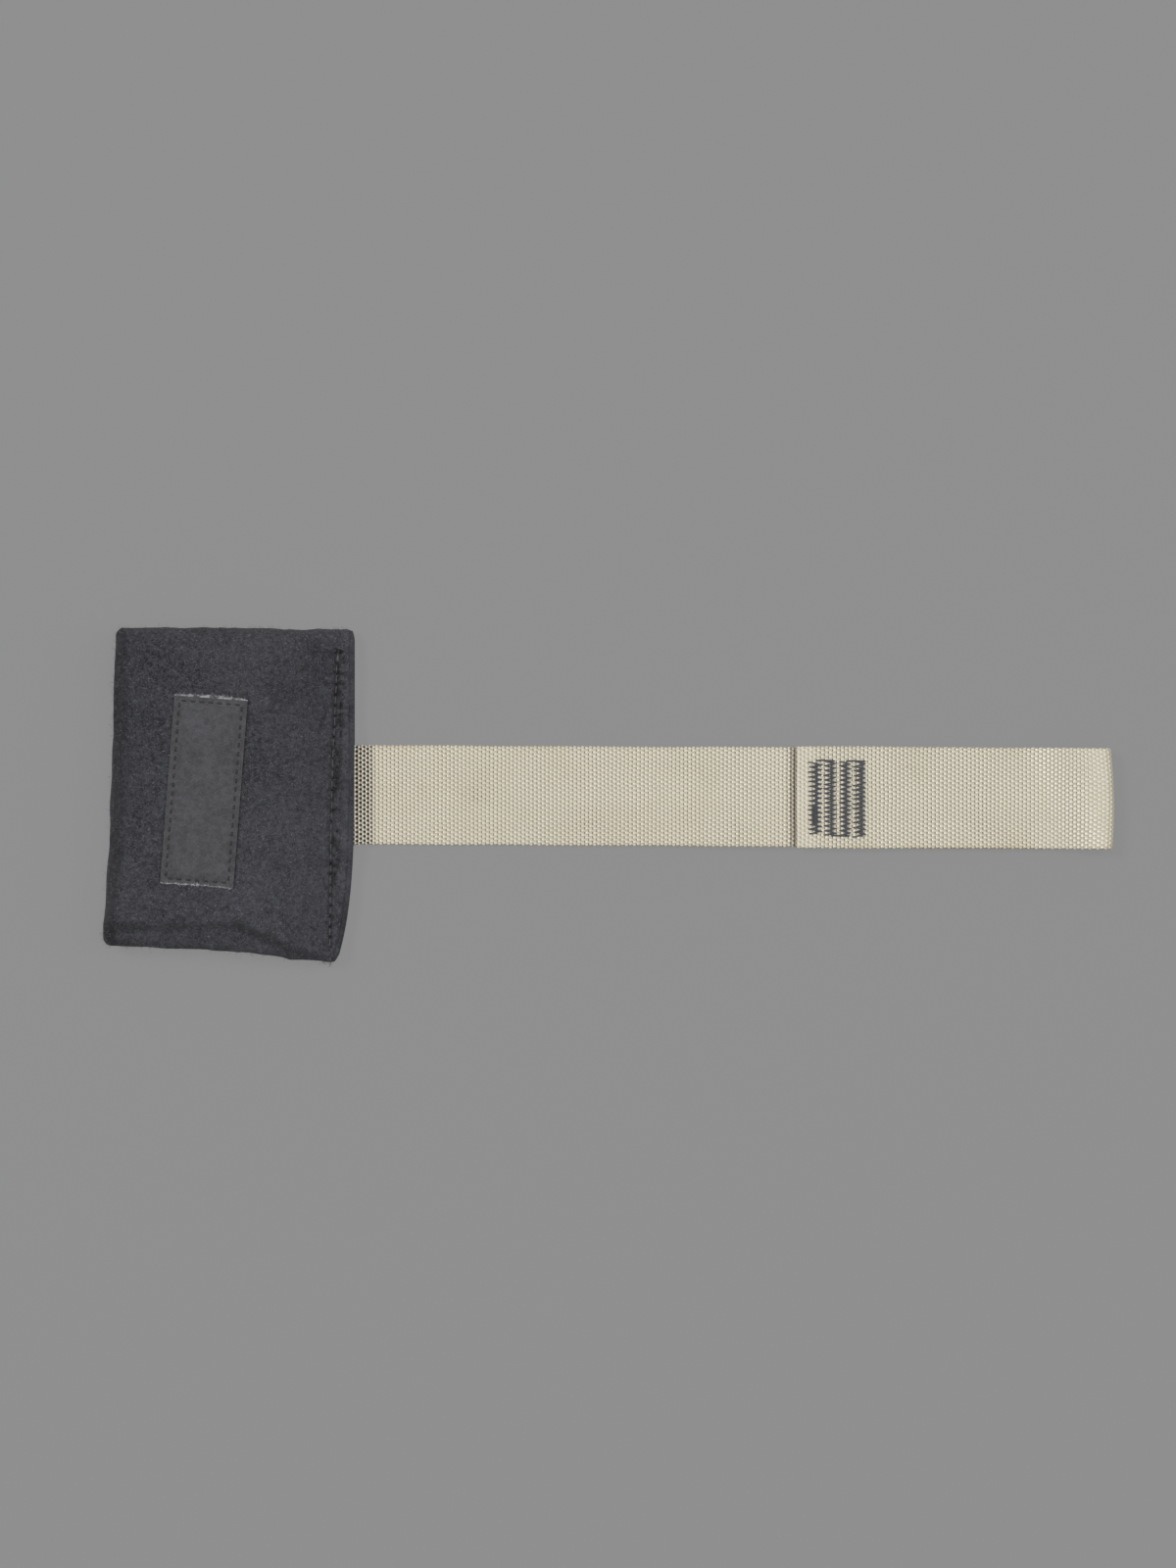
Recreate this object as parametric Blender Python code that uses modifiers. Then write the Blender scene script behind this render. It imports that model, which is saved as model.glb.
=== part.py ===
"""Door anchor of a suspension trainer: a felt pouch filled with foam, on webbing that ends in a sewn loop.

It lies on its back on the floor with the webbing straight out towards +X and the label up. Lengths are in
metres, +Z is up, and the origin is on the floor under the centre of the anchor's box.
"""

import math

import bmesh
import bpy
from mathutils import Matrix, Vector
from mathutils.bvhtree import BVHTree

# Air between pieces that touch
FIT_GAP = 0.0003

# Webbing and thread
WEBBING_WIDTH = 0.038
WEBBING_THICKNESS = 0.0016
THREAD_DIAMETER = 0.0004
SPINE_DIAMETER = 0.0009
FLOOR_CLEARANCE = 0.0002

# Pouch, seen from above
POUCH_WIDTH = 0.0931
POUCH_HEIGHT = 0.1244
LEFT_RAKE = 0.0044
MOUTH_SWEEP = 0.0068
BOTTOM_RAKE = 0.0067

# Pouch, through its thickness
POUCH_THICKNESS = 0.018
CROWN = 0.0012
FELT_THICKNESS = 0.0015
FOAM_CLEARANCE = 0.0008
LEFT_FOAM_ROLL = 0.0025
TOP_FOAM_ROLL = 0.0032
BOTTOM_FOAM_ROLL = 0.0087
CORNER_FOAM_ROLL = 0.0015
SHOULDER = 0.020
HEM_BEYOND_SEAM = 0.002
FRONT_SETBACK = 0.001
FOAM_BEHIND_SEAM = 0.008
SLOT_EASE = 0.0064

# Closing seam, measured from the mouth edge
SEAM_INSET_TOP = 0.0058
SEAM_INSET_BOTTOM = 0.0091
SEAM_END_MARGIN = 0.007
SEAM_STITCH = 0.0039
STITCH_ARCH = 0.0003

# Label on the front panel
LABEL_WIDTH = 0.0271
LABEL_HEIGHT = 0.0698
LABEL_THICKNESS = 0.0007
LABEL_FROM_LEFT = 0.0379
LABEL_ABOVE_MIDDLE = 0.0017
LABEL_TURN = math.radians(-4.4)
LABEL_STITCH = 0.0033
LABEL_STITCH_INSET = 0.002

# Webbing tail inside the pouch
TAIL_REACH = 0.060
TAIL_FOLD_BACK = 0.022
TAIL_TACK_INSET = 0.006
TAIL_TACK_PITCH = 0.010
POCKET_CLEARANCE = 0.0005

# Webbing outside the pouch, measured from the mouth edge
MOUTH_PIVOT_REACH = 0.003
MOUTH_RAMP = 0.013
LIFT_START_SHARE = 0.16
LAP_REACH = 0.1636
LAP_OVERHANG = 0.003

# Loop, measured from the cut end of the lap
LOOP_LENGTH = 0.1174
LAP_LENGTH = 0.0302
LAP_RAMP = 0.0127
BULB_LENGTH = 0.0327
BULB_HEIGHT = 0.0094
LEG_GAP = 0.00035

# Bar tack on the lap
TACK_INSET = 0.0070
TACK_LENGTH = 0.0280
ROW_PITCH = 0.00566
ROW_WIDTH = 0.0043
TOOTH_PITCH = 0.00171
ROW_COUNT = 4

# Shares, powers, angles and counts
FOAM_EDGE_SHARE = 0.3
CREASE_START_SHARE = 0.6
MIDDLE_SHARE = 0.5
SHARP_ANGLE = math.radians(40)
SWEEP_POWER = 6
RAKE_POWER = 1.6
HEM_LAYER_COUNT = 2
ROLL_CELL_COUNT = 4
FLAT_CELL_COUNT = 4
SHOULDER_CELL_COUNT = 4
FLANGE_CELL_COUNT = 2
FOAM_CELL_COUNT = 8
LABEL_CELL_COUNT = 8
RAMP_STEP_COUNT = 8
TURN_STEP_COUNT = 14
CAP_STEP_COUNT = 6

# Places that follow from the sizes above
THREAD_RADIUS = THREAD_DIAMETER / 2
HALF_WEBBING = WEBBING_THICKNESS / 2
HALF_WIDTH = WEBBING_WIDTH / 2
HEM_THICKNESS = HEM_LAYER_COUNT * FELT_THICKNESS
FELT_AND_AIR = FELT_THICKNESS + FOAM_CLEARANCE
LEFT_ROLL = FELT_AND_AIR + LEFT_FOAM_ROLL
TOP_ROLL = FELT_AND_AIR + TOP_FOAM_ROLL
BOTTOM_ROLL = FELT_AND_AIR + BOTTOM_FOAM_ROLL
CORNER_ROLL = FELT_AND_AIR + CORNER_FOAM_ROLL
OVERALL_LENGTH = POUCH_WIDTH + LAP_REACH + LOOP_LENGTH
LEFT_EDGE = -OVERALL_LENGTH / 2
MOUTH_EDGE = LEFT_EDGE + POUCH_WIDTH
BOTTOM_EDGE = -POUCH_HEIGHT / 2
TOP_EDGE = POUCH_HEIGHT / 2
UNDER_LIFT = FLOOR_CLEARANCE + THREAD_DIAMETER + FIT_GAP
BACK_HEM_TOP = UNDER_LIFT + HEM_THICKNESS
MOUTH_MID = BACK_HEM_TOP + FIT_GAP + HALF_WEBBING
BODY_MID = POUCH_THICKNESS / 2
TAIL_STEP = WEBBING_THICKNESS + FIT_GAP
TAIL_MID = BODY_MID - TAIL_STEP / 2
TAIL_END = MOUTH_EDGE - TAIL_REACH
LEG_STEP = WEBBING_THICKNESS + LEG_GAP
CUT_END = MOUTH_EDGE + LAP_REACH
LOOP_END = CUT_END + LOOP_LENGTH
LAP_LOWER = UNDER_LIFT + HALF_WEBBING
LAP_UPPER = LAP_LOWER + LEG_STEP
MOUTH_PIVOT = (MOUTH_EDGE + MOUTH_PIVOT_REACH, MOUTH_MID)
LAP_PIVOT = (CUT_END - LAP_OVERHANG, LAP_LOWER)
FOLD_PIVOT = ((MOUTH_PIVOT[0] + LAP_PIVOT[0]) / 2, HALF_WEBBING)


def mix(low, high, share):
    return low + (high - low) * share


def smooth(share):
    """0 before 0, 1 after 1, and an S-shaped curve between them."""
    share = min(1, max(0, share))
    return share * share * (3 - 2 * share)


# Scene, materials and objects


def clear_scene():
    for obj in list(bpy.data.objects):
        bpy.data.objects.remove(obj)


def collection(name):
    made = bpy.data.collections.new(name)
    bpy.context.scene.collection.children.link(made)
    return made


def material(name, colour, roughness):
    made = bpy.data.materials.new(name)
    made.use_nodes = True
    shader = made.node_tree.nodes["Principled BSDF"]
    shader.inputs["Base Color"].default_value = (*colour, 1)
    shader.inputs["Roughness"].default_value = roughness
    shader.inputs["Metallic"].default_value = 0
    made.diffuse_color = (*colour, 1)
    return made


def felt():
    return material("dark_felt", (0.051, 0.051, 0.058), 0.95)


def foam():
    return material("grey_foam", (0.22, 0.22, 0.23), 0.9)


def webbing():
    return material("sand_webbing", (0.55, 0.51, 0.42), 0.75)


def label_cloth():
    return material("label_cloth", (0.07, 0.07, 0.077), 0.6)


def sewing_thread():
    return material("dark_thread", (0.067, 0.067, 0.072), 0.55)


def carry(obj, pivot):
    """Parents an object to a pivot and leaves it where it is."""
    if pivot:
        obj.parent = pivot
        obj.matrix_parent_inverse = Matrix.Translation(-Vector(pivot["place"]))


def add(name, data, finish, group, pivot=None):
    made = bpy.data.objects.new(name, data)
    data.materials.append(finish)
    group.objects.link(made)
    carry(made, pivot)
    return made


def pivot_at(name, place, group, carrier=None):
    """An empty on a fold line of the webbing, which carries what is beyond it."""
    made = bpy.data.objects.new(name, None)
    made["place"] = (place[0], 0, place[1])
    made.location = made["place"]
    made.empty_display_size = HALF_WIDTH
    group.objects.link(made)
    carry(made, carrier)
    return made


def finished_mesh(shape, name):
    mesh = bpy.data.meshes.new(name)
    shape.to_mesh(mesh)
    shape.free()
    return mesh


def as_mesh(obj, group):
    """A mesh object in place of a curve object, with its caps welded on."""
    depsgraph = bpy.context.evaluated_depsgraph_get()
    mesh = bpy.data.meshes.new_from_object(obj.evaluated_get(depsgraph))
    shape = bmesh.new()
    shape.from_mesh(mesh)
    bmesh.ops.remove_doubles(shape, verts=shape.verts, dist=FIT_GAP / 100)
    shape.to_mesh(mesh)
    shape.free()
    name = obj.name
    place = obj.matrix_world.copy()
    bpy.data.objects.remove(obj)
    made = bpy.data.objects.new(name, mesh)
    made.matrix_world = place
    group.objects.link(made)
    return made


def helper(obj, helpers):
    """Takes an object out of the model, as a cutter or as one side of a union."""
    for group in list(obj.users_collection):
        group.objects.unlink(obj)
    helpers.objects.link(obj)
    obj.hide_render = True
    obj.display_type = "WIRE"


def combine(obj, other, operation):
    joined = obj.modifiers.new(operation.lower(), "BOOLEAN")
    joined.operation = operation
    joined.solver = "EXACT"
    joined.object = other


# Plan of the pouch: u runs from the left edge to the mouth, v from the bottom edge to the top edge


def left_edge(v):
    return LEFT_EDGE + LEFT_RAKE * v


def mouth_edge(v):
    return MOUTH_EDGE - MOUTH_SWEEP * (1 - v) ** SWEEP_POWER


def seam_line(v):
    return MOUTH_EDGE - mix(SEAM_INSET_TOP, SEAM_INSET_BOTTOM, 1 - v * v)


def bottom_edge(u):
    return BOTTOM_EDGE + BOTTOM_RAKE * (1 - max(0, u) ** RAKE_POWER)


def bottom_roll(u):
    """The slack at the bottom edge narrows along a crease that runs to the mouth's lower corner."""
    return mix(BOTTOM_ROLL, CORNER_ROLL, smooth((u - CREASE_START_SHARE) / (1 - CREASE_START_SHARE)))


def plan_point(x, v):
    """The place (x, y) at height share v, and its share u of the width there."""
    u = (x - left_edge(v)) / (mouth_edge(v) - left_edge(v))
    return x, mix(bottom_edge(u), TOP_EDGE, v), u


def roll(depth, radius, wall):
    """Height share at this depth from a rounded edge, on its outside or on a surface behind its wall."""
    if depth >= radius:
        return 1
    return math.sqrt(max(0, 1 - ((radius - depth) / (radius - wall)) ** 2))


def edge_height(x, y, u, v, wall=0):
    sides = roll(x - left_edge(v), LEFT_ROLL, wall) * roll(TOP_EDGE - y, TOP_ROLL, wall)
    return sides * roll(y - bottom_edge(u), bottom_roll(u), wall)


def fullness(x, v):
    """0 on the flange at the mouth, 1 where the pouch has its full thickness."""
    return smooth((seam_line(v) - x) / SHOULDER)


def over_webbing(y):
    """1 over the webbing's width, and 0 beside it, where the panels close on each other."""
    return 1 - smooth((abs(y) - HALF_WIDTH - WEBBING_THICKNESS) / SLOT_EASE)


# Heights of the pouch's surfaces


def back_rim(x, y, v):
    return mix(BACK_HEM_TOP, BODY_MID - FIT_GAP / 2, fullness(x, v))


def front_rim(x, y, v):
    return back_rim(x, y, v) + FIT_GAP + TAIL_STEP * over_webbing(y) * (1 - fullness(x, v))


def back_face(x, y, u, v):
    return mix(UNDER_LIFT, 0, fullness(x, v))


def front_face(x, y, u, v):
    """The front panel's top inside its rounded edges, with the crown."""
    dip = 1 - (1 - (2 * u - 1) ** 2) * (1 - (2 * v - 1) ** 2)
    flange = BACK_HEM_TOP + FIT_GAP + TAIL_STEP * over_webbing(y) + HEM_THICKNESS
    return mix(flange, POUCH_THICKNESS - CROWN * dip, fullness(x, v))


def tail_height(x):
    return mix(MOUTH_MID, TAIL_MID, fullness(x, MIDDLE_SHARE))


def front_foam_top(x, y, u, v):
    face = front_face(x, y, u, v) - FELT_AND_AIR
    return mix(front_rim(x, y, v), face, edge_height(x, y, u, v, FELT_AND_AIR))


def front_foam_base(x, y, u, v):
    return tail_height(x) + HALF_WEBBING + FIT_GAP


def back_foam_top(x, y, u, v):
    return tail_height(x) - HALF_WEBBING - FIT_GAP


def back_foam_base(x, y, u, v):
    face = back_face(x, y, u, v) + FELT_AND_AIR
    return mix(back_rim(x, y, v), face, edge_height(x, y, u, v, FELT_AND_AIR))


# Felt panels and foam


def layered(name, columns, rows, corner, finish, group):
    """A closed body between two layers of one grid, with its corners at corner(column, row, layer)."""
    shape = bmesh.new()
    bmesh.ops.create_grid(shape, x_segments=columns, y_segments=rows, size=1 / 2)
    raised = bmesh.ops.extrude_face_region(shape, geom=list(shape.faces))
    upper = [item for item in raised["geom"] if isinstance(item, bmesh.types.BMVert)]
    bmesh.ops.translate(shape, verts=upper, vec=(0, 0, 1))
    for vertex in shape.verts:
        along, across, layer = vertex.co
        column = round((along + 1 / 2) * columns)
        row = round((across + 1 / 2) * rows)
        vertex.co = corner(column, row, round(layer))
    bmesh.ops.recalc_face_normals(shape, faces=shape.faces)
    if shape.calc_volume(signed=True) < 0:
        bmesh.ops.reverse_faces(shape, faces=shape.faces)
    mesh = finished_mesh(shape, name)
    mesh.shade_smooth()
    mesh.set_sharp_from_angle(angle=SHARP_ANGLE)
    return add(name, mesh, finish, group)


def rolled(width):
    """Places across a rounded edge, closest together where it is steepest."""
    return [width * (1 - math.cos(math.pi / 2 * i / ROLL_CELL_COUNT)) for i in range(ROLL_CELL_COUNT + 1)]


def row_shares():
    """Height shares of a panel's rows, from the bottom edge to the top edge."""
    slot = HALF_WIDTH + WEBBING_THICKNESS
    middle = [TOP_EDGE + place for place in (-slot - SLOT_EASE, -slot, 0, slot, slot + SLOT_EASE)]
    low = rolled(BOTTOM_ROLL)
    high = [POUCH_HEIGHT - depth for depth in reversed(rolled(TOP_ROLL))]
    places = low + [(low[-1] + middle[0]) / 2] + middle + [(middle[-1] + high[0]) / 2] + high
    return [place / POUCH_HEIGHT for place in places]


def spaced(start, end, cells):
    """Places from start up to end, without the end itself."""
    return [mix(start, end, i / cells) for i in range(cells)]


def panel_columns(v, mouth):
    """X of a panel's columns at height share v, from the left edge to the panel's mouth."""
    full_start = left_edge(v) + LEFT_ROLL
    full_end = seam_line(v) - SHOULDER
    places = [left_edge(v) + depth for depth in rolled(LEFT_ROLL)[:-1]]
    places += spaced(full_start, full_end, FLAT_CELL_COUNT)
    places += spaced(full_end, seam_line(v), SHOULDER_CELL_COUNT)
    return places + spaced(seam_line(v), mouth, FLANGE_CELL_COUNT) + [mouth]


def inset(depth, radius):
    """How far the wall's inner side lies in from its outer side, at this depth from an edge."""
    return FELT_THICKNESS * max(0, 1 - depth / radius)


def panel(name, rim, face, inward, mouth_setback, finish, group):
    """One felt panel, rounded at three sides and doubled by its folded hem at the mouth."""
    shares = row_shares()

    def corner(column, row, layer):
        v = shares[row]
        x, y, u = plan_point(panel_columns(v, mouth_edge(v) - mouth_setback)[column], v)
        rim_height = rim(x, y, v)
        face_height = face(x, y, u, v)
        share = edge_height(x, y, u, v)
        if layer == 0:
            hem = x > seam_line(v) - HEM_BEYOND_SEAM
            face_height += inward * (HEM_THICKNESS if hem else FELT_THICKNESS)
            x += inset(x - left_edge(v), LEFT_ROLL)
            y += inset(y - bottom_edge(u), bottom_roll(u)) - inset(TOP_EDGE - y, TOP_ROLL)
        return x, y, mix(rim_height, face_height, share)

    columns = len(panel_columns(0, MOUTH_EDGE)) - 1
    return layered(name, columns, len(shares) - 1, corner, finish, group)


def foam_columns(v):
    start = left_edge(v) + mix(FELT_AND_AIR, LEFT_ROLL, FOAM_EDGE_SHARE)
    full_end = seam_line(v) - SHOULDER
    end = seam_line(v) - FOAM_BEHIND_SEAM
    return spaced(start, full_end, FLAT_CELL_COUNT) + spaced(full_end, end, SHOULDER_CELL_COUNT) + [end]


def foam_slab(name, base, top, finish, group):
    """A foam slab between two heights, each a function of the place, set in from the felt at its edges."""
    low = mix(FELT_AND_AIR, BOTTOM_ROLL, FOAM_EDGE_SHARE)
    high = POUCH_HEIGHT - mix(FELT_AND_AIR, TOP_ROLL, FOAM_EDGE_SHARE)

    def corner(column, row, layer):
        v = mix(low, high, row / FOAM_CELL_COUNT) / POUCH_HEIGHT
        x, y, u = plan_point(foam_columns(v)[column], v)
        return x, y, top(x, y, u, v) if layer else base(x, y, u, v)

    return layered(name, FLAT_CELL_COUNT + SHOULDER_CELL_COUNT, FOAM_CELL_COUNT, corner, finish, group)


def cut_tail_pocket(slab, helpers):
    """The front slab is hollowed under its middle for the doubled end of the tail and its tacking."""
    width = WEBBING_WIDTH + 2 * POCKET_CLEARANCE
    start = TAIL_END - TAIL_STEP / 2 - HALF_WEBBING - POCKET_CLEARANCE
    end = TAIL_END + TAIL_FOLD_BACK + POCKET_CLEARANCE
    top = TAIL_MID + TAIL_STEP + HALF_WEBBING + FIT_GAP + THREAD_DIAMETER + POCKET_CLEARANCE
    base = TAIL_MID
    shape = bmesh.new()
    bmesh.ops.create_cube(shape, size=1)
    bmesh.ops.scale(shape, verts=shape.verts, vec=(end - start, width, top - base))
    bmesh.ops.translate(shape, verts=shape.verts, vec=((start + end) / 2, 0, (base + top) / 2))
    cutter = bpy.data.objects.new("tail_pocket_cutter", finished_mesh(shape, "tail_pocket_cutter"))
    helper(cutter, helpers)
    combine(slab, cutter, "DIFFERENCE")


# Webbing


def ramp(start, end):
    """Points of an S-shaped run from one centre-line point to another, without the first."""
    shares = [i / RAMP_STEP_COUNT for i in range(1, RAMP_STEP_COUNT + 1)]
    return [(mix(start[0], end[0], share), mix(start[1], end[1], smooth(share))) for share in shares]


def turn(centre, radius, start_angle, end_angle):
    angles = [mix(start_angle, end_angle, i / TURN_STEP_COUNT) for i in range(TURN_STEP_COUNT + 1)]
    return [(centre[0] + radius * math.cos(a), centre[1] + radius * math.sin(a)) for a in angles]


def rounded_end(centre, direction):
    """A half circle round an end of the centre line, from its left side to its right side."""
    side = Vector((-direction.y, direction.x))
    angles = [math.pi * i / CAP_STEP_COUNT for i in range(1, CAP_STEP_COUNT)]
    return [centre + HALF_WEBBING * (side * math.cos(a) + direction * math.sin(a)) for a in angles]


def section(path, round_start, round_end):
    """Outline of the webbing's thickness along a centre line, with half-round or square ends."""
    points = [Vector(place) for place in path]
    runs = [(b - a).normalized() for a, b in zip(points, points[1:])]
    tangents = [runs[0]] + [(a + b).normalized() for a, b in zip(runs, runs[1:])] + [runs[-1]]
    sides = [HALF_WEBBING * Vector((-tangent.y, tangent.x)) for tangent in tangents]
    outline = [point + side for point, side in zip(points, sides)]
    if round_end:
        outline += rounded_end(points[-1], tangents[-1])
    outline += [point - side for point, side in zip(reversed(points), reversed(sides))]
    if round_start:
        outline += rounded_end(points[0], -tangents[0])
    return outline


def strip(name, path, finish, group, pivot=None, round_start=True, round_end=True):
    """A length of webbing, whose centre line is a list of (x, z)."""
    outline = section(path, round_start, round_end)
    curve = bpy.data.curves.new(name, "CURVE")
    curve.dimensions = "2D"
    curve.fill_mode = "BOTH"
    curve.extrude = HALF_WIDTH
    spline = curve.splines.new("POLY")
    spline.points.add(len(outline) - 1)
    for point, place in zip(spline.points, outline):
        point.co = (place.x, place.y, 0, 1)
    spline.use_cyclic_u = True
    made = add(name, curve, finish, group)
    made.rotation_euler.x = math.pi / 2
    carry(made, pivot)
    return made


def tail_path():
    """From the cut end of the fold-back, round the fold at the deep end, and out to the mouth."""
    fold = (TAIL_END, TAIL_MID + TAIL_STEP / 2)
    path = [(TAIL_END + TAIL_FOLD_BACK, TAIL_MID + TAIL_STEP)]
    path += turn(fold, TAIL_STEP / 2, math.pi / 2, 3 * math.pi / 2)
    seam = seam_line(MIDDLE_SHARE)
    path += [(seam - SHOULDER, TAIL_MID)]
    path += ramp((seam - SHOULDER, TAIL_MID), (seam, MOUTH_MID))
    return path + [(MOUTH_PIVOT[0] - TAIL_STEP, MOUTH_MID)]


def inner_run_path():
    """From the mouth down to the floor, and along it to the fold in the middle of the run."""
    landing = (MOUTH_PIVOT[0] + MOUTH_RAMP, HALF_WEBBING)
    return [MOUTH_PIVOT] + ramp(MOUTH_PIVOT, landing) + [(FOLD_PIVOT[0] - TAIL_STEP, HALF_WEBBING)]


def outer_run_path():
    """From the middle fold along the floor, then up to the lower layer of the lap."""
    end = (LAP_PIVOT[0] - TAIL_STEP, LAP_LOWER)
    lift = (mix(FOLD_PIVOT[0], end[0], LIFT_START_SHARE), HALF_WEBBING)
    return [FOLD_PIVOT, lift] + ramp(lift, end)


def loop_path():
    """Out along the floor, round the end of the loop, and back on top to the cut end of the lap."""
    low = HALF_WEBBING
    lap_end = CUT_END + LAP_LENGTH
    flat_start = lap_end + LAP_RAMP
    radius = BULB_HEIGHT / 2 - HALF_WEBBING
    bulb = (LOOP_END - BULB_HEIGHT / 2, BULB_HEIGHT / 2)
    closed = (LOOP_END - BULB_LENGTH, low + LEG_STEP)
    path = [LAP_PIVOT, (lap_end, LAP_LOWER)] + ramp((lap_end, LAP_LOWER), (flat_start, low))
    path += turn(bulb, radius, -math.pi / 2, math.pi / 2)
    path += ramp((bulb[0], BULB_HEIGHT - HALF_WEBBING), closed)
    path += [(flat_start, low + LEG_STEP)]
    path += ramp((flat_start, low + LEG_STEP), (lap_end, LAP_UPPER))
    return path + [(CUT_END, LAP_UPPER)]


# Thread and label


def tube(name, points, diameter, finish, group, pivot=None, closed=False):
    curve = bpy.data.curves.new(name, "CURVE")
    curve.dimensions = "3D"
    curve.bevel_depth = diameter / 2
    curve.bevel_resolution = 1
    curve.use_fill_caps = not closed
    spline = curve.splines.new("POLY")
    spline.points.add(len(points) - 1)
    for point, place in zip(spline.points, points):
        point.co = (*place, 1)
    spline.use_cyclic_u = closed
    return add(name, curve, finish, group, pivot)


def surface_of(obj):
    bpy.context.view_layer.update()
    return BVHTree.FromObject(obj, bpy.context.evaluated_depsgraph_get())


def height_on(tree, x, y):
    return tree.ray_cast(Vector((x, y, OVERALL_LENGTH)), Vector((0, 0, -1)))[0].z


def height_under(tree, x, y):
    return tree.ray_cast(Vector((x, y, -OVERALL_LENGTH)), Vector((0, 0, 1)))[0].z


def seam_places():
    """Plan places along the closing seam, at each stitch hole and at the middle of each stitch."""
    low = SEAM_END_MARGIN / POUCH_HEIGHT
    high = 1 - low
    steps = 2 * round((high - low) * POUCH_HEIGHT / SEAM_STITCH)
    shares = [mix(low, high, i / steps) for i in range(steps + 1)]
    return [plan_point(seam_line(v), v)[:2] for v in shares]


def closing_seam(front, back, finish, group):
    front_tree = surface_of(front)
    back_tree = surface_of(back)
    lift = FIT_GAP + THREAD_RADIUS
    needle = []
    bobbin = []
    for i, (x, y) in enumerate(seam_places()):
        needle.append((x, y, height_on(front_tree, x, y) + lift + STITCH_ARCH * (i % 2)))
        if i % 2 == 0:
            bobbin.append((x, y, height_under(back_tree, x, y) - lift))
    tube("closing_seam_needle_thread", needle, THREAD_DIAMETER, finish, group)
    tube("closing_seam_bobbin_thread", bobbin, THREAD_DIAMETER, finish, group)


def side_seam(finish, group):
    """The thread that joins the two panels inside the bottom, left and top edges."""
    inset = FELT_THICKNESS + FIT_GAP + THREAD_RADIUS
    low = inset / POUCH_HEIGHT
    high = 1 - low
    places = []
    for share in range(FOAM_CELL_COUNT + 1):
        x = mix(seam_line(low) - SHOULDER, left_edge(low) + inset, share / FOAM_CELL_COUNT)
        places.append(plan_point(x, low)[:2])
    places.append(plan_point(left_edge(high) + inset, high)[:2])
    places.append(plan_point(seam_line(high) - SHOULDER, high)[:2])
    tube("side_seam_thread", [(x, y, BODY_MID) for x, y in places], THREAD_DIAMETER, finish, group)


def label_place(along, across):
    """Plan place of a point on the label, from its middle, turned with it."""
    centre = Vector((LEFT_EDGE + LABEL_FROM_LEFT, LABEL_ABOVE_MIDDLE))
    return centre + Matrix.Rotation(LABEL_TURN, 2) @ Vector((across, along))


def label_patch(front, finish, group):
    """A woven patch laid on the front panel."""
    tree = surface_of(front)
    shape = bmesh.new()
    bmesh.ops.create_grid(shape, x_segments=LABEL_CELL_COUNT // 2, y_segments=LABEL_CELL_COUNT, size=1 / 2)
    for vertex in shape.verts:
        place = label_place(vertex.co.y * LABEL_HEIGHT, vertex.co.x * LABEL_WIDTH)
        vertex.co = (*place, height_on(tree, *place) + FIT_GAP)
    made = add("label_patch", finished_mesh(shape, "label_patch"), finish, group)
    body = made.modifiers.new("thickness", "SOLIDIFY")
    body.thickness = LABEL_THICKNESS
    body.offset = 1
    return made


def label_thread(label, finish, group):
    """A line of stitches round the patch, just inside its edge."""
    tree = surface_of(label)
    half_width = LABEL_WIDTH / 2 - LABEL_STITCH_INSET
    half_height = LABEL_HEIGHT / 2 - LABEL_STITCH_INSET
    corners = [(-half_height, -half_width), (-half_height, half_width)]
    corners += [(half_height, half_width), (half_height, -half_width)]
    points = []
    for start, end in zip(corners, corners[1:] + corners[:1]):
        steps = 2 * round(math.dist(start, end) / LABEL_STITCH)
        for i in range(steps):
            place = label_place(mix(start[0], end[0], i / steps), mix(start[1], end[1], i / steps))
            arch = STITCH_ARCH * (i % 2)
            points.append((*place, height_on(tree, *place) + FIT_GAP + THREAD_RADIUS + arch))
    tube("label_thread", points, THREAD_DIAMETER, finish, group, closed=True)


def tack_runs(x, width, length, upward):
    """Plan places of one tack row: thread laid to and fro across it, from one end to the other."""
    count = round(length / TOOTH_PITCH)
    side = 1 if upward else -1
    places = []
    for i in range(1, count + 1):
        y = side * mix(-length / 2, length / 2, i / count)
        ends = [(x - width / 2, y), (x + width / 2, y)]
        places += ends if (count - i) % 2 == 0 else ends[::-1]
    return places


def tack_row(index, finish, group, helpers, pivot):
    """The needle thread of one row, spine and teeth in one, with the link that crosses to the next row."""
    name = f"tack_row_{index + 1}_needle_thread"
    x = CUT_END + TACK_INSET + ROW_PITCH * index
    base = LAP_UPPER + HALF_WEBBING + FIT_GAP
    upward = index % 2 == 0
    places = tack_runs(x, ROW_WIDTH, TACK_LENGTH, upward)
    if index < ROW_COUNT - 1:
        places[-1] = (x + ROW_PITCH - SPINE_DIAMETER / 2 - FIT_GAP, places[-1][1])
    z = base + THREAD_RADIUS
    teeth = tube(name, [(px, py, z) for px, py in places], THREAD_DIAMETER, finish, group)
    z = base + SPINE_DIAMETER / 2
    half = TACK_LENGTH / 2 + THREAD_RADIUS
    spine = tube(name + "_spine", [(x, -half, z), (x, half, z)], SPINE_DIAMETER, finish, group)
    teeth = as_mesh(teeth, group)
    carry(teeth, pivot)
    spine = as_mesh(spine, group)
    helper(spine, helpers)
    combine(teeth, spine, "UNION")


def tack_row_underside(index, finish, group, pivot):
    x = CUT_END + TACK_INSET + ROW_PITCH * index
    z = UNDER_LIFT - FIT_GAP - THREAD_RADIUS
    places = tack_runs(x, ROW_WIDTH, TACK_LENGTH, index % 2 == 0)
    points = [(px, py, z) for px, py in places]
    tube(f"tack_row_{index + 1}_bobbin_thread", points, THREAD_DIAMETER, finish, group, pivot)


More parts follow.
